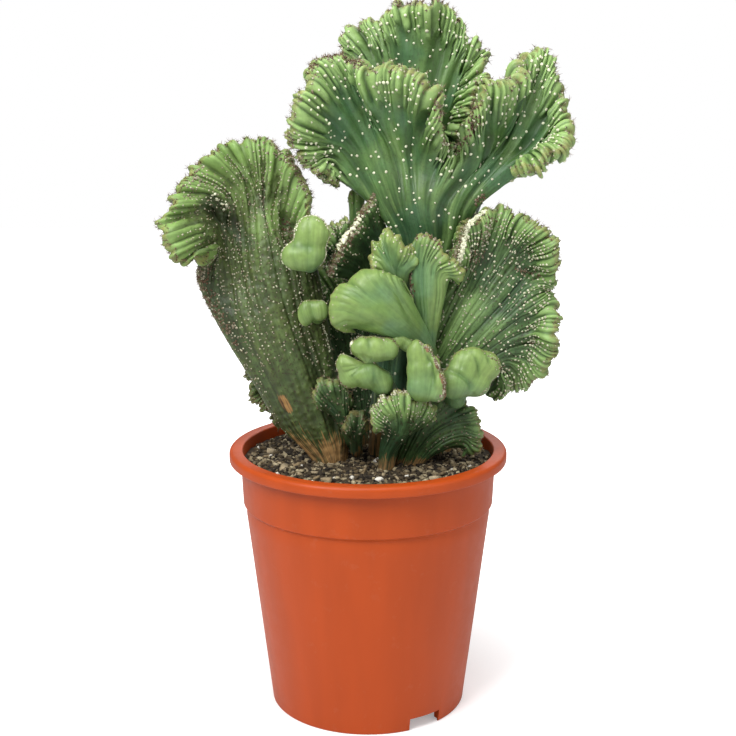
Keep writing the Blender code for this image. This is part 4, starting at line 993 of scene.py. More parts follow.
def stem_surface(name, stem):
    """Both faces of a stem as grids of points, with all that its areoles need to know."""
    habit = HABITS[stem.habit]
    rng = seeded(name)
    u, middle, normal, half, lengths, to_crown = sheet_middle(stem, habit, rng)
    ridge, rise, finger, phase = rib_field(u, lengths, to_crown, habit, rng)
    sides = [middle + normal * half[..., None], middle - normal * half[..., None]]
    normals = [grid_normals(sides[0]), -grid_normals(sides[1])]
    seam = np.zeros(half.shape, bool)
    seam[-1, :] = seam[:, 0] = seam[:, -1] = True
    shared = unit(normals[0] + normals[1])
    for face in normals:
        face[seam] = shared[seam]
    for number, (side, face) in enumerate(zip(sides, normals)):
        sides[number] = side + face * (rise - creases_at(name, side, face)[0])[..., None]
    for side in sides:
        side[-1, 0] = side[-1, 1]
        side[-1, -1] = side[-1, -2]
    normals = [grid_normals(sides[0]), -grid_normals(sides[1])]
    fresh = np.exp(-(to_crown / (0.5 * finger[None] + 0.5 * finger.mean())) ** 2.0)
    return Surface(name, habit, u, lengths, to_crown, sides, normals, ridge, fresh, finger, phase)


def stem_bmesh(surface):
    """The closed skin of a stem, from two grids whose points are moved to its faces."""
    up, across = (size - 1 for size in surface.sides[0].shape[:2])
    bm = bmesh.new()
    bmesh.ops.create_grid(bm, x_segments=across, y_segments=up, size=1)
    copy = bmesh.ops.duplicate(bm, geom=bm.verts[:] + bm.edges[:] + bm.faces[:])
    twins = [item for item in copy["geom"] if isinstance(item, bmesh.types.BMFace)]
    bmesh.ops.reverse_faces(bm, faces=twins)
    mesh = bpy.data.meshes.new("grid")
    bm.to_mesh(mesh)
    bm.free()
    flat = np.empty(len(mesh.vertices) * 3)
    mesh.vertices.foreach_get("co", flat)
    flat = flat.reshape(2, -1, 3)
    row = np.rint((flat[0, :, 1] + 1) / 2 * up).astype(int)
    column = np.rint((flat[0, :, 0] + 1) / 2 * across).astype(int)
    places = np.concatenate([side[row, column] for side in surface.sides])
    mesh.vertices.foreach_set("co", places.ravel())

    width = math.sqrt(surface.across[0] * surface.across[-1])
    growth = np.stack([surface.u[None] * width * np.ones((up + 1, 1)), surface.to_crown,
                       np.zeros_like(surface.to_crown)], axis=2)[row, column]
    growth = np.concatenate([growth, growth + (0, 0, 0.5)])
    add_layer(mesh, "growth", "FLOAT_VECTOR", growth)
    ridge, fresh = np.tile([surface.ridge[row, column], surface.fresh[row, column]], 2)
    line = 1 - smoothstep(0.0004, 0.0020, surface.to_crown[row, column])
    facings = np.concatenate([face[row, column] for face in surface.normals])
    crease_shade = creases_at(surface.name, places, facings)[1]
    # Painted shade in the creases and at shaded places darkens the ridge tone; painted light turns the skin
    # to the fresh crown colour.
    painted_light_and_shade = painted_light_and_shade_at(surface.name, places)
    ridge = ridge * (1 - crease_shade) * (1 + np.minimum(painted_light_and_shade, 0))
    fresh = np.maximum(surface.habit.young * fresh, painted_light_and_shade)
    skin = np.stack([ridge, fresh, scars(surface.name, places), np.tile(line, 2)], axis=1)
    add_layer(mesh, "skin", "FLOAT_COLOR", skin)

    bm = bmesh.new()
    bm.from_mesh(mesh)
    bpy.data.meshes.remove(mesh)
    bmesh.ops.remove_doubles(bm, verts=bm.verts[:], dist=1e-6)
    bmesh.ops.dissolve_degenerate(bm, edges=bm.edges[:], dist=1e-7)
    bmesh.ops.holes_fill(bm, edges=[edge for edge in bm.edges if edge.is_boundary], sides=0)
    bmesh.ops.recalc_face_normals(bm, faces=bm.faces[:])
    check_closed(bm, surface.name)
    if bm.calc_volume(signed=True) < 0:
        bmesh.ops.reverse_faces(bm, faces=bm.faces[:])
    return bm


def scars(name, places):
    """How corky the skin is at each point: old at the foot, and scarred at a few places."""
    rise = metres(CORK_RISE.get(name, CORK_USUAL))
    worn = 0.72 * (1 - smoothstep(0.002, rise, places[:, 2] - SOIL_TOP))
    for line, reach in SCARS.get(name, ()):
        gone = from_line(places, line)[0]
        worn = np.maximum(worn, 1 - smoothstep(0.3 * metres(reach), metres(reach), gone))
    return worn


def from_line(places, line):
    """Distance of each place from a table's line, and how much of the line is passed there."""
    line = metres(line)
    knots = chord_knots(line)
    pieces = 1 if len(line) == 2 else 12
    curve = smooth_curve(line, knots, np.linspace(0, knots[-1], pieces + 1))
    gone = np.full(places.shape[:-1], np.inf)
    passed = np.zeros(places.shape[:-1])
    for number, (start, end) in enumerate(zip(curve, curve[1:])):
        along = end - start
        share = np.clip((places - start) @ along / (along @ along), 0, 1)
        distance = np.linalg.norm(places - start - share[..., None] * along, axis=-1)
        passed = np.where(distance < gone, (number + share) / pieces, passed)
        gone = np.minimum(gone, distance)
    return gone, passed


# ---------------------------------------------------------------------------------------------
# Young pads without ribs

# No pad reaches further than this from its middle.
LUMP_REACH = 0.09


def lobe_field(places, lobes, blend):
    """Above 1 inside a group of lobes, with its gradient."""
    total = np.zeros(places.shape[:-1])
    gradient = np.zeros(places.shape)
    for centre, radii in lobes:
        offset = (places - centre) / radii
        value = np.exp(blend * (1 - (offset**2).sum(axis=-1)))
        total += value
        gradient -= value[..., None] * offset / radii
    return total, gradient


def edge_of_lobes(centre, directions, lobes, blend):
    """How far the lobes reach from a centre in each direction."""
    near, far = np.zeros(len(directions)), np.full(len(directions), LUMP_REACH)
    for _ in range(24):
        middle = (near + far) / 2
        inside = lobe_field(centre + directions * middle[:, None], lobes, blend)[0] > 1
        near, far = np.where(inside, middle, near), np.where(inside, far, middle)
    return near


def lump_centre(lobes):
    """The middle of a pad's lobes, without its foot."""
    return lobes[:-1, 0].mean(axis=0)


def lump_bmesh(name, lump):
    """A plump pad: a ball whose points move out to where its lobes end, with faint ribs."""
    lobes, blend = metres(lump.lobes), lump.blend
    bm = bmesh.new()
    size = lobes[:-1, 1].max()
    bmesh.ops.create_icosphere(bm, subdivisions=6 if size > 0.012 else 5, radius=1)
    mesh = bpy.data.meshes.new("ball")
    bm.to_mesh(mesh)
    bm.free()
    directions = np.empty(len(mesh.vertices) * 3)
    mesh.vertices.foreach_get("co", directions)
    directions = unit(directions.reshape(-1, 3))
    centre, foot = lump_centre(lobes), lobes[-1, 0]
    places = centre + directions * edge_of_lobes(centre, directions, lobes, blend)[:, None]
    normals = unit(-lobe_field(places, lobes, blend)[1])

    out = places - foot
    gone = np.linalg.norm(out, axis=1)
    axis = unit(centre - foot)
    side = unit(np.cross(axis, (0, 1, 0.3)))
    angle = np.arctan2(out @ side, out @ axis)
    share = gone / gone.max()
    ribs = np.abs(np.sin(angle * 7 + np.sin(angle * 3))) ** 0.6 * 2 - 1
    ribs = ribs * smoothstep(0.35, 0.9, share)
    dents = np.array([noise.noise(Vector(place) * 60) for place in places])
    line = np.exp(-((normals[:, 1] + 0.1) / 0.20) ** 2) * smoothstep(0.45, 0.7, share)
    pressed, crease_shade = creases_at(name, places, normals)
    rise = 0.0003 * ribs + 0.0010 * dents - 0.0004 * line - pressed
    places = places + normals * rise[:, None]
    mesh.vertices.foreach_set("co", places.ravel())

    growth = np.stack([angle * 0.03, gone, np.zeros_like(gone)], axis=1)
    add_layer(mesh, "growth", "FLOAT_VECTOR", growth)
    fresh = 0.7 * smoothstep(0.45, 1.0, share)
    # Painted shade: the pad's tone darkens towards its foot among the stems, and a little between its ribs.
    ridge = 0.20 + (0.40 + 0.10 * ribs) * smoothstep(0.15, 0.50, share)
    # Painted shade in the creases and at shaded places darkens the tone; painted light turns the skin to the
    # fresh colour.
    painted_light_and_shade = painted_light_and_shade_at(name, places)
    ridge = ridge * (1 - crease_shade) * (1 + np.minimum(painted_light_and_shade, 0))
    skin = [ridge, np.maximum(fresh, painted_light_and_shade), scars(name, places), line]
    add_layer(mesh, "skin", "FLOAT_COLOR", np.stack(skin, axis=1))
    bm = bmesh.new()
    bm.from_mesh(mesh)
    bpy.data.meshes.remove(mesh)
    check_closed(bm, name)
    return bm


def rim_areoles(name, lump):
    """Areoles along the edge of a pad, where its growing line runs."""
    lobes, blend = metres(lump.lobes), lump.blend
    start, end, *sizes, brown = lump.rim
    spacing, size = metres(sizes)
    rng = seeded(name + "_rim")
    centre = lump_centre(lobes)
    fine = np.radians(np.linspace(start, end, 400))
    directions = np.stack([np.cos(fine), np.zeros_like(fine), np.sin(fine)], axis=1)
    rim = centre + directions * edge_of_lobes(centre, directions, lobes, blend)[:, None]
    walked = chord_knots(rim)
    found = []
    for step in range(int(walked[-1] / spacing)):
        place = int(np.searchsorted(walked, (step + rng.random()) * spacing))
        direction = unit(directions[place] + (0, rng.uniform(-0.22, 0.10), 0))[None]
        spot_on = centre + direction * edge_of_lobes(centre, direction, lobes, blend)[:, None]
        normal = unit(-lobe_field(spot_on, lobes, blend)[1])[0]
        found.append((Vector(spot_on[0]), Vector(normal), size * rng.uniform(0.6, 1.1),
                      brown + rng.uniform(-0.15, 0.35), 1 + (brown > 0.5), 0.0014))
    return found


# ---------------------------------------------------------------------------------------------
# Areoles: a cushion of wool with spines in it


# Areoles start this far above the soil, and a few are missing.
AREOLE_CLEAR = 0.012
AREOLE_SHARE = 0.92
# Seams drop on a stem's front, along the camera's downward tilt, or else on the nearest skin.
SEAM_DROP = Vector((0, 0.975, -0.222))
SEAM_START = 0.012
SEAM_REACH = 0.035


def seam_areoles(tree, seam, rng):
    """Areoles crowded along a line, each dropped on the skin of a stem."""
    _, line, spread, spacing, size, brown, spines, length = seam
    line = metres(line)
    spread, spacing, size, length = metres((spread, spacing, size, length))
    knots = chord_knots(line)
    count = int(knots[-1] / spacing)
    found = []
    for place in smooth_curve(line, knots, np.linspace(0, knots[-1], count)):
        near = Vector(place) + Vector([rng.gauss(0, 0.6 * spread) for _ in range(3)])
        skin, normal, _, distance = tree.ray_cast(near - SEAM_DROP * SEAM_START, SEAM_DROP, SEAM_REACH)
        if skin is None:
            skin, normal, _, distance = tree.find_nearest(near)
        if distance < SEAM_REACH:
            found.append((skin, normal, size * rng.uniform(0.5, 1.15), brown + rng.uniform(-0.25, 0.3),
                          spines, length))
    return found


def spot(surface, face, column, distance):
    """A point of a stem's face at a column and a distance below the crown, and its normal."""
    down = surface.to_crown[:, column][::-1]
    row = len(down) - 1 - np.interp(distance, down, np.arange(len(down)))
    low = int(min(max(math.floor(row), 0), len(down) - 2))
    share = row - low
    place, normal = (grids[face][low, column] * (1 - share) + grids[face][low + 1, column] * share
                     for grids in (surface.sides, surface.normals))
    return low, Vector(place), Vector(unit(normal))


def areoles_of(surface):
    """Every areole of a stem: place, normal, size, brownness, number and length of its spines."""
    habit = surface.habit
    rng = seeded(surface.name + "_areoles")
    along, across, lowest = habit.dots
    size, brown, spines, length = habit.wool
    found = []
    ribs = int(surface.phase.max())
    height = surface.to_crown[0].mean()
    for face in (0, 1):
        for rib in range(ribs):
            column = int(np.abs(surface.phase - rib - 0.5).argmin())
            finger = surface.finger[column]
            distance = finger * rng.uniform(0.25, 0.45)
            reach = height * lowest * (1 + 0.3 * (2 * surface.u[column] - 1) ** 4)
            while distance < reach:
                on_finger = distance < finger
                row, place, normal = spot(surface, face, column, distance)
                if not on_finger:
                    aside = rng.uniform(-0.6, 0.6) * across / surface.across[row] * len(surface.u)
                    moved = min(max(column + int(aside), 1), len(surface.u) - 2)
                    row, place, normal = spot(surface, face, moved, distance)
                spacing = surface.across[row] / ribs
                keep = min(1.0, spacing / across)
                regular = (rib * keep) % 1.0 < keep
                clear = place.z > SOIL_TOP + AREOLE_CLEAR
                if clear and (on_finger or regular) and rng.random() < AREOLE_SHARE:
                    own = size * rng.uniform(0.65, 1.15) * (1.15 if on_finger else 1)
                    found.append((place, normal, own, brown + rng.uniform(-0.1, 0.3), spines, length))
                distance += min(along, 0.8 * finger) * rng.uniform(0.6, 1.45)
    spacing, spines, length = habit.edge
    steps = int(surface.across[-1] / spacing)
    for step in range(steps):
        share = (step + rng.uniform(0.2, 0.8)) / steps
        column = int(np.abs(surface.u - share).argmin())
        face = rng.randrange(2)
        row, place, normal = spot(surface, face, column, rng.uniform(0.0, 0.0025))
        own = size * rng.uniform(0.5, 1.0)
        found.append((place, normal, own, brown + rng.uniform(0.1, 0.8), spines, length))
    return found


def wool_template():
    """A flat round cushion."""
    bm = bmesh.new()
    bmesh.ops.create_uvsphere(bm, u_segments=6, v_segments=3, radius=1)
    bmesh.ops.scale(bm, vec=(1.05, 1.05, 0.6), verts=bm.verts[:])
    return bm


def spine_template():
    """A thin cone that stands on its base and is one unit long."""
    bm = bmesh.new()
    lift = Matrix.Translation((0, 0, 0.5))
    bmesh.ops.create_cone(bm, cap_ends=True, segments=3, radius1=1, radius2=0.12, depth=1, matrix=lift)
    return bm


def tilted(normal, rng, most):
    """A direction leaning away from the normal by up to so many degrees."""
    angle = math.radians(rng.uniform(0.2, 1.0) * most)
    return facing(normal, rng.uniform(0, math.tau)) @ Vector((math.sin(angle), 0, math.cos(angle)))


def areole_copies(found, rng, spine_radius, wool_scale):
    """Placed cushions and spines for a list of areoles."""
    cushions, spines = [], []
    for place, normal, size, brown, number, length in found:
        turn = facing(normal, rng.uniform(0, math.tau))
        size *= wool_scale
        scale = Matrix.Diagonal((size * rng.uniform(0.85, 1.15), size, size, 1))
        cushions.append((0, Matrix.Translation(place) @ turn @ scale, min(max(brown, 0), 1)))
        for _ in range(number):
            if rng.random() < 0.8:
                own = length * rng.uniform(0.5, 1.3)
                turn = facing(tilted(normal, rng, 65), 0)
                scale = Matrix.Diagonal((spine_radius, spine_radius, own, 1))
                spines.append((0, Matrix.Translation(place) @ turn @ scale, rng.random()))
    return cushions, spines


# ---------------------------------------------------------------------------------------------
# Pot and soil


def turned(profile, segments):
    """A closed solid of revolution from a profile of (radius, height) points."""
    bm = bmesh.new()
    points = [bm.verts.new((radius, 0, z)) for radius, z in profile]
    edges = [bm.edges.new(pair) for pair in zip(points, points[1:])]
    bmesh.ops.spin(bm, geom=points + edges, cent=(0, 0, 0), axis=(0, 0, 1),
                   angle=math.tau, steps=segments, use_merge=True)
    bmesh.ops.remove_doubles(bm, verts=bm.verts[:], dist=1e-6)
    bmesh.ops.recalc_face_normals(bm, faces=bm.faces[:])
    # A spin orders its edges and faces another way in each run, so they are sorted by their corners.
    bm.verts.index_update()
    for parts in (bm.edges, bm.faces):
        ranked = sorted(parts, key=lambda part: [vertex.index for vertex in part.verts])
        for index, part in enumerate(ranked):
            part.index = index
        parts.sort()
    return bm


def arc(centre, radius, start, end, steps):
    """Points of a circular arc in the profile plane, angles in degrees."""
    angles = [math.radians(start + (end - start) * i / steps) for i in range(steps + 1)]
    return [(centre[0] + radius * math.cos(a), centre[1] + radius * math.sin(a)) for a in angles]


def body_radius(z):
    """Outer radius of the tapered body at a height."""
    return FOOT_RADIUS + (BODY_TOP_RADIUS - FOOT_RADIUS) * z / SHOULDER_Z


def pot_profile(rim_radius):
    """The wall from the underside of the floor, round the foot and the rolled rim, to the floor."""
    under = RIM_TOP - RIM_DEPTH
    shoulder = SHOULDER_Z + SHOULDER_RISE
    profile = [(0.0, FLOOR_Z), (body_radius(FLOOR_Z) - 3 * WALL, FLOOR_Z)]
    profile += arc((body_radius(FLOOR_Z) - 2.2 * WALL, FLOOR_Z - 0.8 * WALL), 0.8 * WALL, 90, 10, 4)
    profile += [(FOOT_RADIUS - WALL, 0.0003), (FOOT_RADIUS - 0.8 * WALL, 0.0)]
    profile += arc((FOOT_RADIUS - WALL / 2, FOOT_ROUND), FOOT_ROUND, -90, 0, 4)
    profile += [(body_radius(z), z) for z in (0.006, 0.03, 0.07, 0.11, 0.145, SHOULDER_Z - 0.006)]
    profile += [(BODY_TOP_RADIUS - BAND_RECESS, SHOULDER_Z - 0.0022)]
    profile += [(BODY_TOP_RADIUS - BAND_RECESS, SHOULDER_Z)]
    profile += arc((BAND_BOTTOM_RADIUS - BAND_ROUND, shoulder + 0.0003), BAND_ROUND, -80, 10, 5)
    profile += [(BAND_TOP_RADIUS - 0.0004, under - 0.012)]
    profile += [(BAND_TOP_RADIUS, under - 0.0006), (BAND_TOP_RADIUS + 0.0006, under + WALL)]
    profile += [(rim_radius - 2.2 * WALL, under + WALL), (rim_radius - 1.3 * WALL, under + 0.4 * WALL)]
    profile += arc((rim_radius - UNDER_ROUND, under + UNDER_ROUND), UNDER_ROUND, -100, 0, 3)
    profile += [(rim_radius, under + 0.003)]
    profile += arc((rim_radius - RIM_ROUND, RIM_TOP - RIM_ROUND), RIM_ROUND, 0, 90, 7)
    profile += arc((BAND_TOP_RADIUS - 0.0002, RIM_TOP - LIP_ROUND), LIP_ROUND, 90, 180, 5)
    profile += [(BAND_TOP_RADIUS - WALL - 0.0003, under), (BAND_BOTTOM_RADIUS - WALL, shoulder + WALL)]
    profile += [(BODY_TOP_RADIUS - WALL, SHOULDER_Z + WALL), (body_radius(0.08) - WALL, 0.08)]
    profile += [(body_radius(FLOOR_Z + 4 * WALL) - WALL, FLOOR_Z + 4 * WALL)]
    profile += [(body_radius(FLOOR_Z + WALL) - 3 * WALL, FLOOR_Z + WALL), (0.0, FLOOR_Z + WALL)]
    return profile


def box_bmesh(size, place, turn):
    """A box of a size at a place, turned about Z."""
    bm = bmesh.new()
    bmesh.ops.create_cube(bm, size=1)
    bmesh.ops.scale(bm, vec=size, verts=bm.verts[:])
    matrix = Matrix.Rotation(turn, 4, "Z") @ Matrix.Translation(place)
    bmesh.ops.transform(bm, matrix=matrix, verts=bm.verts[:])
    return bm


def combine(bm, tools):
    """A bmesh after exact Booleans with a list of (operation, bmesh)."""
    objects = []
    for index, shape in enumerate([bm] + [tool for _, tool in tools]):
        mesh = bpy.data.meshes.new(f"shape_{index}")
        shape.to_mesh(mesh)
        shape.free()
        objects.append(add_object(f"shape_{index}", mesh))
    for (operation, _), tool in zip(tools, objects[1:]):
        step = objects[0].modifiers.new("cut", "BOOLEAN")
        step.operation = operation
        step.solver = "EXACT"
        step.object = tool
    bpy.context.view_layer.update()
    evaluated = objects[0].evaluated_get(bpy.context.evaluated_depsgraph_get())
    result = bmesh.new()
    result.from_mesh(evaluated.to_mesh())
    evaluated.to_mesh_clear()
    for made in objects:
        mesh = made.data
        bpy.data.objects.remove(made)
        bpy.data.meshes.remove(mesh)
    return result


def pot_bmesh(rim_radius, segments):
    """The pot with foot notches between cheeks, and drain holes."""
    tools = []
    for degrees in NOTCH_ANGLES:
        turn = math.radians(degrees)
        for side in (-1, 1):
            size = (NOTCH_CHEEK, WALL, FLOOR_Z - WALL / 2)
            x = FOOT_RADIUS - WALL - NOTCH_CHEEK / 2 + WALL / 2
            place = (x, side * (NOTCH_WIDTH / 2 + WALL / 2), size[2] / 2 + WALL)
            tools.append(("UNION", box_bmesh(size, place, turn)))
    for degrees in NOTCH_ANGLES:
        size = (NOTCH_CHEEK * 2, NOTCH_WIDTH, FLOOR_Z * 2 - WALL)
        tools.append(("DIFFERENCE", box_bmesh(size, (FOOT_RADIUS, 0, 0), math.radians(degrees))))
    for index in range(DRAIN_HOLES):
        angle = math.tau * (index + 0.5) / DRAIN_HOLES
        place = Matrix.Translation((DRAIN_RING * math.cos(angle), DRAIN_RING * math.sin(angle), FLOOR_Z))
        bm = bmesh.new()
        bmesh.ops.create_cone(bm, cap_ends=True, segments=24, radius1=DRAIN_RADIUS,
                              radius2=DRAIN_RADIUS, depth=WALL * 4, matrix=place)
        tools.append(("DIFFERENCE", bm))
    return combine(turned(pot_profile(rim_radius), segments), tools)


def soil_height(x, y):
    """Height of the soil's crumbly top at a place."""
    point = Vector((x, y, 0.0))
    rough = 0.0016 * noise.noise(point * 60) + 0.0012 * noise.noise(point * 170 + Vector((7, 3, 1)))
    return SOIL_TOP + rough - 0.0006


def soil_bmesh():
    """The plug of soil, with an uneven top."""
    radius = BAND_TOP_RADIUS - WALL - SOIL_GAP
    profile = [(0.0, SOIL_BASE), (body_radius(SOIL_BASE) - WALL - 0.0006, SOIL_BASE)]
    profile += [(BODY_TOP_RADIUS - WALL - SOIL_GAP, SHOULDER_Z)]
    profile += [(BAND_BOTTOM_RADIUS - WALL - SOIL_GAP, SHOULDER_Z + SHOULDER_RISE + WALL)]
    profile += [(radius, SOIL_TOP - 0.001)]
    profile += [(radius * (1 - step / 60), SOIL_TOP) for step in range(1, 60)] + [(0.0, SOIL_TOP)]
    bm = turned(profile, 150)
    for vertex in bm.verts:
        if vertex.co.z > SOIL_TOP - 0.0012:
            vertex.co.z = soil_height(vertex.co.x, vertex.co.y)
    return bm


def crumb_template(seed, subdivisions, roughness):
    """A knobbly crumb about one unit in radius."""
    bm = bmesh.new()
    bmesh.ops.create_icosphere(bm, subdivisions=subdivisions, radius=1)
    for vertex in bm.verts:
        vertex.co *= 1 + roughness * noise.noise(vertex.co * 1.4 + Vector((seed * 3.1, seed, 0)))
    return bm


def chip_template(seed):
    """A flat splinter of bark about one unit long either way."""
    # Without a seed of its own the vector noise starts from the clock.
    noise.seed_set(seed + 1)
    bm = bmesh.new()
    bmesh.ops.create_cube(bm, size=2)
    bmesh.ops.subdivide_edges(bm, edges=bm.edges[:], cuts=1, use_grid_fill=True)
    for vertex in bm.verts:
        vertex.co.x *= 1 - 0.25 * abs(vertex.co.y)
        vertex.co += noise.noise_vector(vertex.co * 1.1 + Vector((seed, 2.3 * seed, 0))) * 0.35
    return bm


def resting_matrix(place, half_size, rng, tilt):
    """A matrix that lays a shape of a half size on the soil with a random turn and a slight tilt."""
    turn = Matrix.Rotation(rng.uniform(0, math.tau), 4, "Z")
    for axis in "XY":
        turn = turn @ Matrix.Rotation(rng.uniform(-tilt, tilt), 4, axis)
    return Matrix.Translation(place) @ turn @ Matrix.Diagonal((*half_size, 1))


def on_soil(rng, radius):
    """A random place on the soil within a radius."""
    distance, angle = radius * math.sqrt(rng.random()), rng.uniform(0, math.tau)
    return distance * math.cos(angle), distance * math.sin(angle)


def middle_and_half(node):
    """The middle and the half size of a node of the solid model."""
    low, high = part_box(node)
    return (low + high) / 2, (high - low) / 2


def crumb_copies(count):
    """Placed crumbs, most of them small and dark."""
    rng = seeded("crumbs")
    copies = []
    for _ in range(count):
        x, y = on_soil(rng, CRUMB_REACH)
        size = 0.0008 + 0.0018 * rng.random() ** 2.2
        half = (size * rng.uniform(0.8, 1.7), size * rng.uniform(0.5, 1.0), size * rng.uniform(0.5, 0.9))
        number = rng.randrange(SHAPES)
        matrix = resting_matrix((x, y, soil_height(x, y) + 0.25 * size), half, rng, 0.6)
        copies.append((number, matrix, rng.random() ** 1.7))
    return copies


def chip_copies(count):
    """Placed bark chips, those of the solid model first."""
    rng = seeded("bark")
    copies = []
    for node in BARK_NODES:
        place, half = middle_and_half(node)
        number = rng.randrange(SHAPES)
        copies.append((number, resting_matrix(place, half * 0.9, rng, 0.25), rng.uniform(0.2, 1.0)))
    while len(copies) < count:
        x, y = on_soil(rng, CHIP_REACH)
        half = (rng.uniform(0.0014, 0.0042), rng.uniform(0.0008, 0.0020), rng.uniform(0.0004, 0.0010))
        matrix = resting_matrix((x, y, soil_height(x, y) + half[2] * 0.7), half, rng, 0.5)
        copies.append((rng.randrange(SHAPES), matrix, rng.random()))
    return copies


def grain_copies(count):
    """Placed perlite grains, those of the solid model first."""
    rng = seeded("perlite")
    copies = []
    for node in PERLITE_NODES:
        number = rng.randrange(SHAPES)
        copies.append((number, resting_matrix(*middle_and_half(node), rng, 0.3), 0.8))
    while len(copies) < count:
        x, y = on_soil(rng, GRAIN_REACH)
        size = rng.uniform(0.0007, 0.0020)
        place = (x, y, soil_height(x, y) + size * 0.4)
        matrix = resting_matrix(place, (size, size, size * 0.8), rng, 0.8)
        copies.append((rng.randrange(SHAPES), matrix, rng.uniform(0.3, 1.0)))
    return copies


# ---------------------------------------------------------------------------------------------
# Stage


def add_camera(settings):
    """The camera, which looks down a little at the plant."""
    camera = bpy.data.cameras.new("camera")
    camera.sensor_width = 36
    camera.lens = settings.lens
    camera.clip_start = 0.01
    made = add_object("camera", camera)
    made.location = (0, -settings.distance, settings.height)
    made.rotation_euler = (math.pi / 2 - settings.pitch, 0, 0)
    bpy.context.scene.camera = made


def add_lights(key, fill):
    """Four area lights that face the middle of the plant."""
    lights = [("key", key, 0.7, (-0.65, -0.85, 1.15)),
              ("top", 1.5 * fill, 0.7, (0.0, -0.45, 1.50)),
              ("fill", 0.7 * fill, 0.9, (0.95, -0.75, 0.75)),
              ("rim", fill, 0.9, (0.2, 0.95, 1.0))]
    for name, power, size, place in lights:
        light = bpy.data.lights.new(name, "AREA")
        light.energy = power
        light.size = size
        lamp = add_object(name, light)
        lamp.location = place
        aim = Vector((0, 0, AIM_HEIGHT)) - lamp.location
        lamp.rotation_euler = aim.to_track_quat("-Z", "Y").to_euler()


def add_surround(brightness):
    """A surround that looks white and lights the plant with its own brightness."""
    world = bpy.data.worlds.new("white_surround")
    bpy.context.scene.world = world
    world.use_nodes = True
    tree = world.node_tree
    tree.nodes.clear()
    rays = add_node(tree, "ShaderNodeLightPath")
    seen = maths(tree, "MAXIMUM", rays.outputs["Is Camera Ray"], rays.outputs["Is Transmission Ray"])
    strength = ramped(tree, seen, 0.0, 1.0, brightness, 1.0)
    sky = add_node(tree, "ShaderNodeBackground", {"Color": linear("ffffff"), "Strength": strength})
    output = tree.nodes.new("ShaderNodeOutputWorld")
    tree.links.new(sky.outputs[0], output.inputs[0])


def white_paper():
    """Matt white paper that fades into the surround.

    Camera rays get light of the floor's own, more and more away from the pot, so that the floor
    meets the white surround without a line and still keeps the pot's shadow.
    """
    made, tree, output = new_material("white_paper")
    rays = add_node(tree, "ShaderNodeLightPath")
    away = add_node(tree, "ShaderNodeVectorMath", {0: object_place(tree)}, operation="LENGTH")
    own = ramped(tree, away.outputs["Value"], 0.09, 0.36, 0.30, 1.0)
    glow = maths(tree, "MULTIPLY", rays.outputs["Is Camera Ray"], own)
    end_in_shader(tree, output, {"Base Color": linear("e6e6e6"), "Roughness": 1.0,
                                 "Specular IOR Level": 0.0, "Emission Color": linear("ffffff"),
                                 "Emission Strength": glow})
    return made


def add_floor():
    """The sheet of paper that the pot stands on."""
    bm = bmesh.new()
    bmesh.ops.create_grid(bm, x_segments=1, y_segments=1, size=3)
    mesh = bpy.data.meshes.new("floor")
    bm.to_mesh(mesh)
    bm.free()
    mesh.materials.append(white_paper())
    add_object("floor", mesh)


# ---------------------------------------------------------------------------------------------
# Settings


class PotSettings(bpy.types.PropertyGroup):
    """The nursery pot."""
    rim_radius: FloatProperty(
        name="Rim radius", description="Half the width across the rim", unit="LENGTH", default=0.105)
    segments: IntProperty(name="Segments", description="Steps round the pot", default=176)
    tone: FloatVectorProperty(
        name="Colour", description="Colour of the plastic", subtype="COLOR", size=3, default=colour("ae4410"))
    roughness: FloatProperty(
        name="Roughness", description="How matt the plastic is", subtype="FACTOR", default=0.42)


class StemSettings(bpy.types.PropertyGroup):
    """What all the stems share."""
    spine_radius: FloatProperty(
        name="Spine radius", description="Half the thickness of a spine at its base", unit="LENGTH",
        default=0.00020)
    wool_scale: FloatProperty(
        name="Wool size", description="Scale of the wool cushions", subtype="FACTOR", default=1.0)


class SoilSettings(bpy.types.PropertyGroup):
    """The potting mix and what lies on it."""
    crumbs: IntProperty(name="Crumbs", description="Number of loose crumbs", default=4200)
    chips: IntProperty(name="Bark chips", description="Number of bark chips", default=110)
    grains: IntProperty(name="Perlite grains", description="Number of perlite grains", default=34)


class StageSettings(bpy.types.PropertyGroup):
    """Camera, lights and floor."""
    distance: FloatProperty(
        name="Camera distance", description="From the axis to the camera", unit="LENGTH", default=0.99885)
    height: FloatProperty(
        name="Camera height", description="Height of the camera", unit="LENGTH", default=0.48785)
    pitch: FloatProperty(
        name="Downward tilt", description="How far the camera looks down", unit="ROTATION", default=0.223)
    lens: FloatProperty(
        name="Focal length", description="Focal length for a 36 mm sensor", subtype="DISTANCE_CAMERA",
        default=66.76)
    key_power: FloatProperty(
        name="Key light", description="Power of the key light", unit="POWER", default=18.0)
    fill_power: FloatProperty(
        name="Fill light", description="Power of the fill light", unit="POWER", default=6.0)
    sky: FloatProperty(name="Sky", description="Brightness of the white surround", default=0.33)


# ---------------------------------------------------------------------------------------------
# Operators


class MESH_OT_add_nursery_pot(bpy.types.Operator):
    """Add the moulded plastic pot"""
    bl_idname = "mesh.add_nursery_pot"
    bl_label = "Nursery pot"

    def execute(self, context):
        settings = context.scene.cactus_pot
        bm = pot_bmesh(settings.rim_radius, settings.segments)
        check_closed(bm, "pot")
        look = moulded_polypropylene(settings.tone, settings.roughness)
        finish_piece("pot", bm, look, ["nursery_pot"], sharp_angle=38)
        return {"FINISHED"}


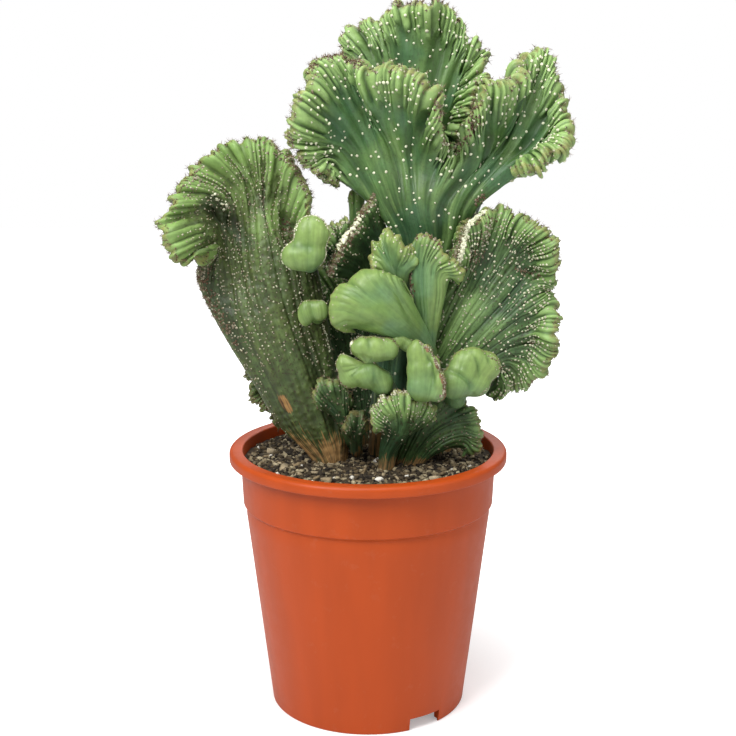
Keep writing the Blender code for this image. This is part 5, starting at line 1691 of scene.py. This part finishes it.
class MESH_OT_add_potting_soil(bpy.types.Operator):
    """Add the soil with its crumbs, bark chips and perlite"""
    bl_idname = "mesh.add_potting_soil"
    bl_label = "Potting soil"

    def execute(self, context):
        settings = context.scene.cactus_soil
        soil = crumbly("peat_mix", "1f1810", "584a33", "a79a7c", 620.0)
        plug = soil_bmesh()
        check_closed(plug, "soil")
        made = finish_piece("soil", plug, soil, ["potting_soil"], sharp_angle=40)
        add_layer(made.data, "tint", "FLOAT", np.full(len(made.data.vertices), 0.15))
        templates = [crumb_template(seed, 1, 0.5) for seed in range(SHAPES)]
        scatter("crumbs", templates, crumb_copies(settings.crumbs), soil)
        bark = crumbly("chipped_bark", "453624", "857355", "b5a68a", 700.0)
        templates = [chip_template(seed) for seed in range(SHAPES)]
        scatter("bark_chips", templates, chip_copies(settings.chips), bark, BARK_NODES)
        perlite = crumbly("puffed_perlite", "a8a293", "cfc9bb", "f0ece2", 1600.0)
        templates = [crumb_template(seed + 9, 2, 0.7) for seed in range(SHAPES)]
        scatter("perlite", templates, grain_copies(settings.grains), perlite, PERLITE_NODES)
        return {"FINISHED"}


class MESH_OT_add_crested_stems(bpy.types.Operator):
    """Add every crested stem with its wool and spines"""
    bl_idname = "mesh.add_crested_stems"
    bl_label = "Crested stems"

    def execute(self, context):
        settings = context.scene.cactus_stems
        looks = stem_materials()
        wool, horn = felt_wool(), spine_horn()
        found, trees = {}, {}
        for name, stem in STEMS.items():
            surface = stem_surface(name, stem)
            bm = stem_bmesh(surface)
            trees[name] = BVHTree.FromBMesh(bm)
            finish_piece(name + "_skin", bm, looks[surface.habit.look], [name])
            found[name] = areoles_of(surface)
        for name, lump in LUMPS.items():
            bm = lump_bmesh(name, lump)
            trees[name] = BVHTree.FromBMesh(bm)
            finish_piece(name + "_skin", bm, looks["pad_skin"], [name])
            found[name] = rim_areoles(name, lump)
        for number, seam in enumerate(SEAMS):
            found[seam[0]] += seam_areoles(trees[seam[0]], seam, seeded(f"seam_{number}"))
        for name, spots in found.items():
            rng = seeded(name + "_spines")
            cushions, spines = areole_copies(spots, rng, settings.spine_radius, settings.wool_scale)
            scatter("wool_" + name, [wool_template()], cushions, wool)
            scatter("spines_" + name, [spine_template()], spines, horn)
        return {"FINISHED"}


class SCENE_OT_set_cactus_stage(bpy.types.Operator):
    """Add the camera, the lights, the floor and the white surround"""
    bl_idname = "scene.set_cactus_stage"
    bl_label = "Stage"

    def execute(self, context):
        settings = context.scene.cactus_stage
        add_camera(settings)
        add_lights(settings.key_power, settings.fill_power)
        add_surround(settings.sky)
        add_floor()
        context.scene.view_settings.view_transform = "Standard"
        return {"FINISHED"}


class VIEW3D_PT_cactus(bpy.types.Panel):
    """The pieces of the plant, one button each"""
    bl_label = "Crested cactus"
    bl_idname = "VIEW3D_PT_cactus"
    bl_space_type = "VIEW_3D"
    bl_region_type = "UI"
    bl_category = "Cactus"

    def draw(self, context):
        for operator, group in PIECES:
            box = self.layout.box()
            box.operator(operator.bl_idname)
            settings = getattr(context.scene, group)
            for key in settings.__annotations__:
                box.prop(settings, key)


GROUPS = {"cactus_pot": PotSettings, "cactus_soil": SoilSettings, "cactus_stems": StemSettings,
          "cactus_stage": StageSettings}
PIECES = [(MESH_OT_add_nursery_pot, "cactus_pot"), (MESH_OT_add_potting_soil, "cactus_soil"),
          (MESH_OT_add_crested_stems, "cactus_stems"), (SCENE_OT_set_cactus_stage, "cactus_stage")]
CLASSES = [*GROUPS.values(), *[operator for operator, _ in PIECES], VIEW3D_PT_cactus]


def register():
    for cls in CLASSES:
        bpy.utils.register_class(cls)
    for key, group in GROUPS.items():
        setattr(bpy.types.Scene, key, PointerProperty(type=group))


def unregister():
    for key in GROUPS:
        delattr(bpy.types.Scene, key)
    for cls in reversed(CLASSES):
        bpy.utils.unregister_class(cls)


def main():
    register()
    bpy.ops.mesh.add_nursery_pot()
    bpy.ops.mesh.add_potting_soil()
    bpy.ops.mesh.add_crested_stems()
    bpy.ops.scene.set_cactus_stage()


if __name__ == "__main__":
    main()
